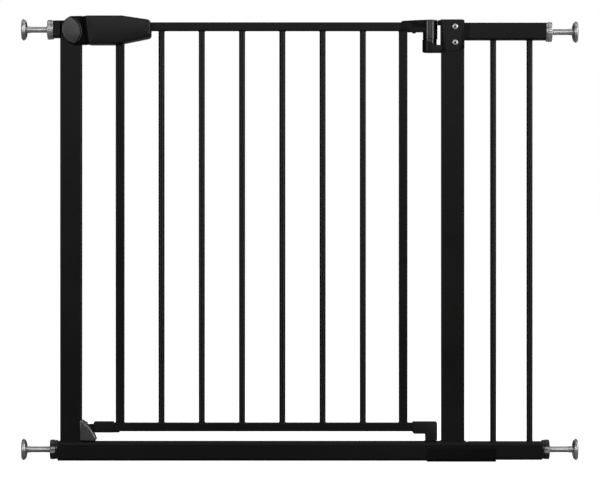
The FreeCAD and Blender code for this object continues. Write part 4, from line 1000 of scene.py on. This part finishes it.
# --- upper hinge
@dataclass
class UpperHinge:
    """The bracket over the hinge post's top, its cup, and the knuckle that turns in it."""

    edge: float = 1.1 * MM
    gap: float = 0.4 * MM
    wrap_lap: float = 0.8 * MM
    wrap_height: float = 52.4 * MM
    wrap_bow: Point = (21.0 * MM, 51.6 * MM)
    wrap_rise: float = 5.2 * MM
    wrap_corner: Point = (3.4 * MM, 1.4 * MM)
    arm: Point = (8.6 * MM, 0.8 * MM)
    arm_depth: float = 8.0 * MM
    lap: float = 2.0 * MM
    cup: float = 12.8 * MM
    cup_wall: float = 1.4 * MM
    cup_floor: float = 5.0 * MM
    cup_corner: float = 2.6 * MM
    slope: float = 9.6 * MM
    ease: float = 0.12
    barrel: float = 12.0 * MM
    barrel_height: float = 31.4 * MM
    barrel_corner: float = 1.6 * MM
    tail: Point = (14.6 * MM, 10.8 * MM)
    arm_half: float = 8.6 * MM
    sag: float = 1.75 * MM
    rail_rise: Point = (1.2 * MM, 2.2 * MM)

    def build(self, shop: Workshop) -> None:
        """Make the bracket, the knuckle's arm and its barrel."""
        axis, plastic = shop.hinge_x, shop.looks[Slot.PLASTIC]
        self._bracket(axis).build("hinge_bracket_pressing", shop.coat, "frame",
                                  ["upper_hinge_bracket"], sharp=36.0)
        self._knuckle_arm(axis).build("hinge_knuckle_arm", plastic, "gate_leaf",
                                      ["upper_hinge_knuckle"], sharp=44.0)
        self._barrel(axis).build("hinge_knuckle_barrel", shop.casting, "gate_leaf", sharp=44.0)

    def _bracket(self, axis: float) -> Form:
        """The pressed bracket: a wrap with a curved lower edge, an arm above and a cup below."""
        low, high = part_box("upper_hinge_bracket")
        left, right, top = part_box("right_post")[0].x - self.wrap_lap, high.x, high.z
        hem, bow, corner = top - self.wrap_height, self.wrap_bow, self.wrap_corner
        lower = arc((left, hem), (left + bow[0], top - bow[1]), (right, hem + self.wrap_rise), 14)
        form = Form()
        form.prism([*lower, (right, top - corner[1]), (right - corner[0], top), (left, top)],
                   (low.y, high.y), self.edge)
        inner, outer = axis + self.barrel + self.gap, left + self.lap
        under, over = (top - drop for drop in self.arm)
        form.prism(rounded([(inner, under, 0), (outer, under, 0), (outer, over, 0),
                            (inner, over, 1.2 * MM)]), (-self.arm_depth, self.arm_depth), 0.8 * MM)
        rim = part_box("upper_hinge_knuckle")[1].z - self.barrel_height - self.gap
        foot, shelf, half = low.z + 0.2 * MM, rim - self.slope, self.cup - 0.3 * MM
        form.prism(rounded([(axis, foot, 0), (outer, foot, 2 * MM), (outer, shelf, 0),
                            (axis, shelf, 0)]), (-half, half), 1.0 * MM)
        self._cup(form, axis, low.z, rim)
        return form

    def _cup(self, form: Form, axis: float, floor: float, rim: float) -> None:
        """The cup around the knuckle's lower end, whose rim falls towards the post."""
        inner, corner, tall = self.cup - self.cup_wall, self.cup_corner, rim - floor
        profile = [
            (0.0, 0.0), (0.0, self.cup - corner),
            *[(corner * (1 - math.cos(t)), self.cup - corner * (1 - math.sin(t)))
              for t in quarter(6)[1:]],
            (tall - 0.3 * MM, self.cup), (tall, self.cup - 0.4 * MM),
            (tall, inner + 0.3 * MM), (tall - 0.4 * MM, inner),
            (self.cup_floor, inner), (self.cup_floor, 0.0),
        ]
        before = set(form.bm.verts)
        form.lathe(profile, Vector((axis, 0.0, floor)), Z_AXIS, segments=64)
        span = self.cup + 0.4 * MM
        for vert in set(form.bm.verts) - before:
            share = (vert.co.x - (axis - span)) / (2 * span)
            limit = rim - self.slope * share
            vert.co.z = min(vert.co.z, limit - max(0.0, rim - vert.co.z) * self.ease)

    def _knuckle_arm(self, axis: float) -> Form:
        """The knuckle's arm: a fitting on the top rail that rises to the barrel."""
        low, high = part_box("upper_hinge_knuckle")
        rail_low, rail_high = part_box("leaf_top_tube")
        stile, under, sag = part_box("hinge_stile")[1].x, rail_low.z + 0.1 * MM, rail_low.z - self.sag
        end, top = axis - 4 * MM, high.z - 0.3 * MM
        form = Form()
        form.prism(rounded([
            (low.x, under, 0.6 * MM), (stile + 0.4 * MM, under, 0),
            (stile + 0.6 * MM, sag, 1.2 * MM), (end, sag, 0), (end, top, 0),
            (axis - self.barrel - 3 * MM, top, 8 * MM),
            (low.x + 3.0 * MM, rail_high.z + self.rail_rise[1], 5 * MM),
            (low.x, rail_high.z + self.rail_rise[0], 1.5 * MM),
        ]), (-self.arm_half, self.arm_half), 1.5 * MM, segments=4)
        return form

    def _barrel(self, axis: float) -> Form:
        """The knuckle's barrel around the pin, with its tail in the cup."""
        tall, corner, (length, tail) = self.barrel_height, self.barrel_corner, self.tail
        rounding = [
            (tall - corner * (1 - math.sin(t)), self.barrel - corner * (1 - math.cos(t)))
            for t in quarter(6)
        ]
        start = Vector((axis, 0.0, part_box("upper_hinge_knuckle")[1].z - tall))
        form = Form()
        form.lathe([
            (-length, 0.0), (-length, tail - 0.6 * MM), (0.6 * MM - length, tail),
            (-self.gap, tail), (-self.gap, self.barrel - 0.7 * MM), (0.2 * MM, self.barrel),
            *rounding, (tall, 5.4 * MM), (tall - 0.5 * MM, 5.0 * MM), (tall - 0.5 * MM, 0.0),
        ], start, Z_AXIS, segments=64)
        return form


# --- lower fittings
@dataclass
class LowerFittings:
    """The bottom catch on the frame, and the leaf's plug and elbow."""

    slope_edge: float = 2.8 * MM
    toe: float = 4.2 * MM
    foot_gap: float = 0.9 * MM
    cheek: float = 8.6 * MM
    crest: float = 4.6 * MM
    bow: Point = (0.70, 0.57)
    notch: float = 5.2 * MM
    sleeve_wall: float = 1.9 * MM
    sleeve_length: float = 32.5 * MM
    nose_length: float = 9.5 * MM
    nose: Point = (3.9 * MM, 11.9 * MM)
    lip: float = 6.6 * MM
    skin: float = 0.05 * MM
    leg: float = 19.1 * MM
    socket: float = 19.4 * MM

    def build(self, shop: Workshop) -> None:
        """Make the catch, the plug and the elbow."""
        for name, form, look, body, node in (
            ("sloped_catch", self._catch(), shop.looks[Slot.CATCH], "frame", "bottom_catch"),
            ("leaf_corner_plug", self._plug(), shop.grip, "gate_leaf", "leaf_catch_plug"),
            ("turned_down_elbow", self._elbow(), shop.grip, "gate_leaf", "hinge_elbow"),
        ):
            form.build(name, look, body, [node], sharp=40.0)

    def _catch(self) -> Form:
        """The catch: two cheeks with a convex slope, a notch between them and a back."""
        low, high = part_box("bottom_catch")
        left, right, run, depth = low.x, high.x, high.x - low.x, abs(low.y)
        foot = low.z + self.foot_gap
        bow = (left + self.bow[0] * run, low.z + self.bow[1] * (high.z - low.z))
        slope = arc((right, low.z + self.toe), bow, (left + self.crest, high.z), 14)
        outline = [(left, foot), (right - self.toe * 0.7, foot),
                   (right - 0.6 * MM, foot + 1.4 * MM), *slope, (left, high.z)]
        spine = ((left + 0.22 * run, foot + 7.5 * MM), (left + 0.20 * run, high.z - 10.0 * MM))
        form = Form()
        for ends in both_sides(depth - self.cheek, depth):
            form.pillow(outline, spine, ends, self.slope_edge, 0.5 * MM)
        notch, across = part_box("leaf_catch_plug")[0].x - 1.0 * MM, (-self.notch, self.notch)
        form.prism(rounded([(left, low.z, 0), (notch, low.z, 0), (notch, high.z - 3 * MM, 1.5 * MM),
                            (left, high.z - 2 * MM, 0)]), across, 0.4 * MM)
        start, end = notch - 1 * MM, right - 2 * MM
        form.prism([(start, low.z), (end, low.z), (end, low.z + 7 * MM),
                    (start, low.z + 10 * MM)], across, 0.4 * MM)
        return form

    def _plug(self) -> Form:
        """The plug on the bottom rail's end: a soft-edged sleeve, a nose and a lip below."""
        low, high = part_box("leaf_catch_plug")
        rail_low, rail_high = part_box("leaf_bottom_tube")
        left = low.x + self.nose_length
        right = left + self.sleeve_length
        foot = rail_low.z - self.sleeve_wall + self.skin
        top = rail_high.z + self.sleeve_wall - self.skin
        half, (nose_half, nose_height) = high.y - self.skin, self.nose
        form = Form()
        form.prism(rounded([(left, foot, 1.2 * MM), (right, foot, 0.8 * MM),
                            (right, top, 2.0 * MM), (left, top, 1.6 * MM)]),
                   (-half, half), 1.6 * MM, segments=4)
        nose_low, nose_top, root = rail_low.z, rail_low.z + nose_height, left + 1 * MM
        form.prism(rounded([(low.x, nose_low, 1.2 * MM), (root, nose_low, 0), (root, nose_top, 0),
                            (low.x, nose_top, 2.0 * MM)]), (-nose_half, nose_half), 0.6 * MM)
        start, over = right - 2 * MM, rail_low.z - 0.1 * MM
        form.prism(rounded([(start, foot, 0), (high.x, foot, 0.5 * MM), (high.x, over, 0.5 * MM),
                            (start, over, 0)]), (-self.lip, self.lip), 0.3 * MM)
        return form

    def _elbow(self) -> Form:
        """The elbow: a socket for the bottom rail that turns down onto the pin."""
        low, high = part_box("hinge_elbow")
        leg, step = high.x - self.leg, high.z - self.socket
        form = Form()
        form.prism(rounded([
            (low.x, step + 1.6 * MM, 0.8 * MM), (low.x + 2.6 * MM, step, 1.2 * MM),
            (leg, step, 1.2 * MM), (leg, low.z, 0.5 * MM), (high.x, low.z, 0.5 * MM),
            (high.x, high.z, 2.4 * MM), (low.x, high.z, 1.0 * MM),
        ], steps=5), (low.y, high.y), 1.9 * MM, segments=4)
        return form


# --- screws, filler and welds
@dataclass
class BracketScrews:
    """The bracket's two button-head screws, each with a hexagon socket."""

    head: float = 5.15 * MM
    dome: float = 2.6 * MM
    shank: float = 2.9 * MM
    socket: float = 2.1 * MM
    socket_depth: float = 1.9 * MM
    # The floors sit shallow so that their painted shade shows as a dark dot.
    floor_depth: float = 0.7 * MM
    floor_share: float = 0.86

    def build(self, shop: Workshop) -> None:
        """Make the heads and their shanks as one piece, and the sockets' floors, dark as painted shade in the
        sockets, as another.
        """
        low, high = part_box("bracket_screws")
        length, sunk, collar = high.y - low.y, self.socket_depth, self.dome + 0.4 * MM
        floor = self.socket * self.floor_share
        rim = [
            (self.dome * (1 - math.cos(t)), self.socket + (self.head - self.socket) * math.sin(t))
            for t in quarter(8)
        ]
        heads, floors = Form(), Form()
        for z in (high.z - self.head, low.z + self.head):
            start = Vector(((low.x + high.x) / 2, low.y, z))
            heads.lathe([(sunk, 0.0), (sunk, self.socket), *rim, (collar, self.head - 0.2 * MM),
                         (collar, self.shank), (length, self.shank), (length, 0.0)],
                        start, Y_AXIS, shaped=self._hexagon)
            floors.lathe([(self.floor_depth, 0.0), (self.floor_depth, floor), (sunk, floor),
                          (sunk, 0.0)], start, Y_AXIS, segments=6)
        heads.build("bracket_button_screws", shop.zinc, "frame", ["bracket_screws"], sharp=40.0)
        # The floors take the painted-shade black for the shade in the sockets.
        floors.build("screw_socket_floors", shop.core._replace(slot=Slot.ZINC), "frame")

    def _hexagon(self, angle: float, _: float, radius: float) -> float:
        """The radius at an angle: six-sided in the socket, round elsewhere."""
        if radius > self.socket + TOUCHING:
            return radius
        turn = (angle + math.pi / 6) % (math.pi / 3) - math.pi / 6
        return radius * math.cos(math.pi / 6) / math.cos(turn)


@dataclass
class JointGapShade:
    """A dark block in the joint between the threshold tube and the extension's, as painted shade in the gap."""

    inset: float = 1.0 * MM
    lap: float = 2.0 * MM
    corner: float = 4.0 * MM

    def build(self, shop: Workshop) -> None:
        """Make the block between the two tubes' ends, just under their skin, in painted-shade black."""
        low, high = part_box("extension_bottom_tube")
        ends = (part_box("bottom_tube")[1].x - self.lap, low.x + self.lap)
        deep, up = high.y - self.inset, (low.z + self.inset, high.z - self.inset)
        form = Form()
        form.prism(rectangle((-deep, deep), up, self.corner), ends, 0.3 * MM, place=along_x)
        form.build("threshold_joint_filler", shop.core, "frame")


@dataclass
class Welds:
    """The weld beads at the ends of the bars, stiles and posts, under the coat."""

    bead: float = 0.95 * MM
    stile_bead: float = 0.76 * MM
    post_bead: float = 1.2 * MM
    bar_corner: float = 5.0 * MM
    stile_corner: float = 1.8 * MM
    post_corner: float = 2.5 * MM
    spacing: float = 0.7 * MM
    ripple_rows: int = 5

    def _upright(self, form: Form, node: str, corner: float, radius: float,
                 top: bool = True) -> None:
        """Beads round the lower end of one node, and round its top."""
        low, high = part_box(node)
        a, b, x = (high.x - low.x) / 2, (high.y - low.y) / 2, (low.x + high.x) / 2
        outline = rectangle((x - a, x + a), (-b, b), min(corner, min(a, b) * 0.98), steps=8)
        dense: list[Point] = []
        for first, second in zip(outline, [*outline[1:], outline[0]]):
            here, after = Vector(first), Vector(second)
            parts = max(1, int((after - here).length / self.spacing))
            dense += [tuple(here.lerp(after, k / parts)) for k in range(parts)]
        for z in (low.z, high.z) if top else (low.z,):
            path = [Vector((*point, z)) for point in dense]
            form.bead(path, Z_AXIS, radius, ripples=max(8, len(path) // self.ripple_rows))

    def build(self, shop: Workshop) -> None:
        """Make the beads of the leaf, of the extension and of the posts."""
        leaf, fixed = Form(), Form()
        for k in range(1, 7):
            self._upright(leaf, f"leaf_bar_{k}", self.bar_corner, self.bead)
        for stile in ("latch_stile", "hinge_stile"):
            self._upright(leaf, stile, self.stile_corner, self.stile_bead)
        leaf.build("leaf_weld_beads", shop.coat, "gate_leaf", sharp=70.0)
        for k in (1, 2):
            self._upright(fixed, f"extension_bar_{k}", self.bar_corner, self.bead)
        for post in ("left_post", "right_post"):
            self._upright(fixed, post, self.post_corner, self.post_bead, top=False)
        fixed.build("frame_weld_beads", shop.coat, "frame", sharp=70.0)


# --- stage
@dataclass(frozen=True)
class Softbox:
    """One soft studio light."""

    name: str
    place: Corner
    aim: Corner
    size: Point
    power: float

    def set_up(self) -> None:
        """Put the light in the scene, out of the camera's sight."""
        data = bpy.data.lights.new(self.name, "AREA")
        data.shape = "RECTANGLE"
        data.size, data.size_y = self.size
        data.energy = self.power
        lamp = bpy.data.objects.new(self.name, data)
        bpy.context.scene.collection.objects.link(lamp)
        lamp.location = self.place
        towards = Vector(self.aim) - Vector(self.place)
        lamp.rotation_euler = towards.to_track_quat("-Z", "Y").to_euler()
        lamp.visible_camera = False


SOFTBOXES = [
    Softbox("front_high", (0.0, -3.4, 1.8), (0.0, 0.0, 0.5), (3.2, 2.0), 31.0),
    Softbox("left_strip", (-2.6, -2.6, 0.6), (0.0, 0.0, 0.4), (0.8, 2.4), 44.0),
    Softbox("right_strip", (2.6, -2.6, 0.6), (0.0, 0.0, 0.4), (0.8, 2.4), 52.0),
    Softbox("top_box", (0.0, 0.1, 2.6), (0.0, 0.0, 0.4), (2.6, 1.5), 13.0),
    Softbox("rear_high", (0.0, 3.4, 2.4), (0.0, 0.0, 0.4), (3.2, 1.0), 15.0),
    Softbox("right_side", (2.3, -0.1, 1.4), (0.0, 0.0, 0.6), (0.9, 1.7), 36.0),
]


@dataclass
class Stage:
    """The pale floor, the light around it, and the camera."""

    floor_reach: float = 30.0
    floor_drop: float = 0.4 * MM
    floor_grey: float = 0.34
    eye: Corner = (0.0004, -4.5, 0.3623)
    lens: float = 164.9
    sensor: float = 36.0
    far: float = 200.0
    front: float = 0.42
    rear: float = 0.02
    low_share: float = 0.7

    def set_up(self) -> None:
        """Make the floor, the surround, the lights and the camera."""
        self._floor()
        self._surround()
        for box in SOFTBOXES:
            box.set_up()
        data = bpy.data.cameras.new("camera")
        data.lens, data.sensor_width, data.clip_end = self.lens, self.sensor, self.far
        camera = bpy.data.objects.new("camera", data)
        bpy.context.scene.collection.objects.link(camera)
        camera.location = self.eye
        camera.rotation_euler = (math.radians(90), 0.0, 0.0)
        bpy.context.scene.camera = camera
        bpy.context.scene.view_settings.view_transform = "Standard"

    def _floor(self) -> None:
        """A large plain floor that is white where nothing stands on it, and clear from below."""
        bm = bmesh.new()
        bmesh.ops.create_grid(bm, x_segments=8, y_segments=8, size=self.floor_reach)
        mesh = bpy.data.meshes.new("floor")
        bm.to_mesh(mesh)
        bm.free()
        floor = bpy.data.objects.new("floor", mesh)
        floor.location.z = -self.floor_drop
        bpy.context.scene.collection.objects.link(floor)
        material = bpy.data.materials.new("pale_floor")
        material.use_nodes = True
        tree = material.node_tree
        tree.nodes.clear()
        out = add_node(tree, "OutputMaterial")
        matt = add_node(tree, "BsdfDiffuse", in_Color=(*grey(self.floor_grey), 1.0))
        glow = add_node(tree, "Emission", in_Color=(*grey(1.0), 1.0), in_Strength=1.0)
        path = add_node(tree, "LightPath")
        seen = add_node(tree, "MixShader")
        both = add_node(tree, "AddShader")
        below = add_node(tree, "NewGeometry")
        clear = add_node(tree, "BsdfTransparent")
        faces = add_node(tree, "MixShader")
        join(tree, (matt, 0, both, 0), (glow, 0, both, 1), (path, "Is Camera Ray", seen, 0),
             (matt, 0, seen, 1), (both, 0, seen, 2), (below, "Backfacing", faces, 0),
             (seen, 0, faces, 1), (clear, 0, faces, 2), (faces, 0, out, "Surface"))
        mesh.materials.append(material)

    def _surround(self) -> None:
        """Soft light from the front, weaker from below and behind, with white behind the gate."""
        world = bpy.data.worlds.new("studio")
        bpy.context.scene.world = world
        world.use_nodes = True
        tree = world.node_tree
        tree.nodes.clear()
        out = add_node(tree, "OutputWorld")
        path = add_node(tree, "LightPath")
        place = add_node(tree, "TexCoord")
        parts = add_node(tree, "SeparateXYZ")
        ahead = add_range(tree, 0.25, -0.65, (self.rear, self.front))
        height = add_range(tree, -0.25, 0.45, (self.low_share, 1.0))
        level = add_node(tree, "Math", operation="MULTIPLY")
        dim = add_node(tree, "Background")
        white = add_node(tree, "Background", in_Strength=1.0, in_Color=(*grey(1.0), 1.0))
        mix = add_node(tree, "MixShader")
        join(tree, (place, "Generated", parts, 0), (parts, "Y", ahead, "Value"),
             (parts, "Z", height, "Value"), (ahead, "Result", level, 0),
             (height, "Result", level, 1), (level, 0, dim, "Strength"),
             (path, "Is Camera Ray", mix, 0), (dim, 0, mix, 1), (white, 0, mix, 2),
             (mix, 0, out, "Surface"))


# --- the whole gate
def main() -> None:
    """Build and dress the gate in order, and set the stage."""
    logging.basicConfig(level=logging.INFO, format="%(message)s")
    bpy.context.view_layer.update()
    shop = Workshop()
    shop.dress_frame()
    for corner in ("top_left", "top_right", "bottom_left", "bottom_right"):
        Spindle(corner).build(shop)
    for assembly in (Handle(), LockCap(), UpperHinge(), LowerFittings(), BracketScrews(),
                     JointGapShade(), Welds()):
        assembly.build(shop)
        LOG.info("built %s", type(assembly).__name__)
    Stage().set_up()


if __name__ == "__main__":
    main()
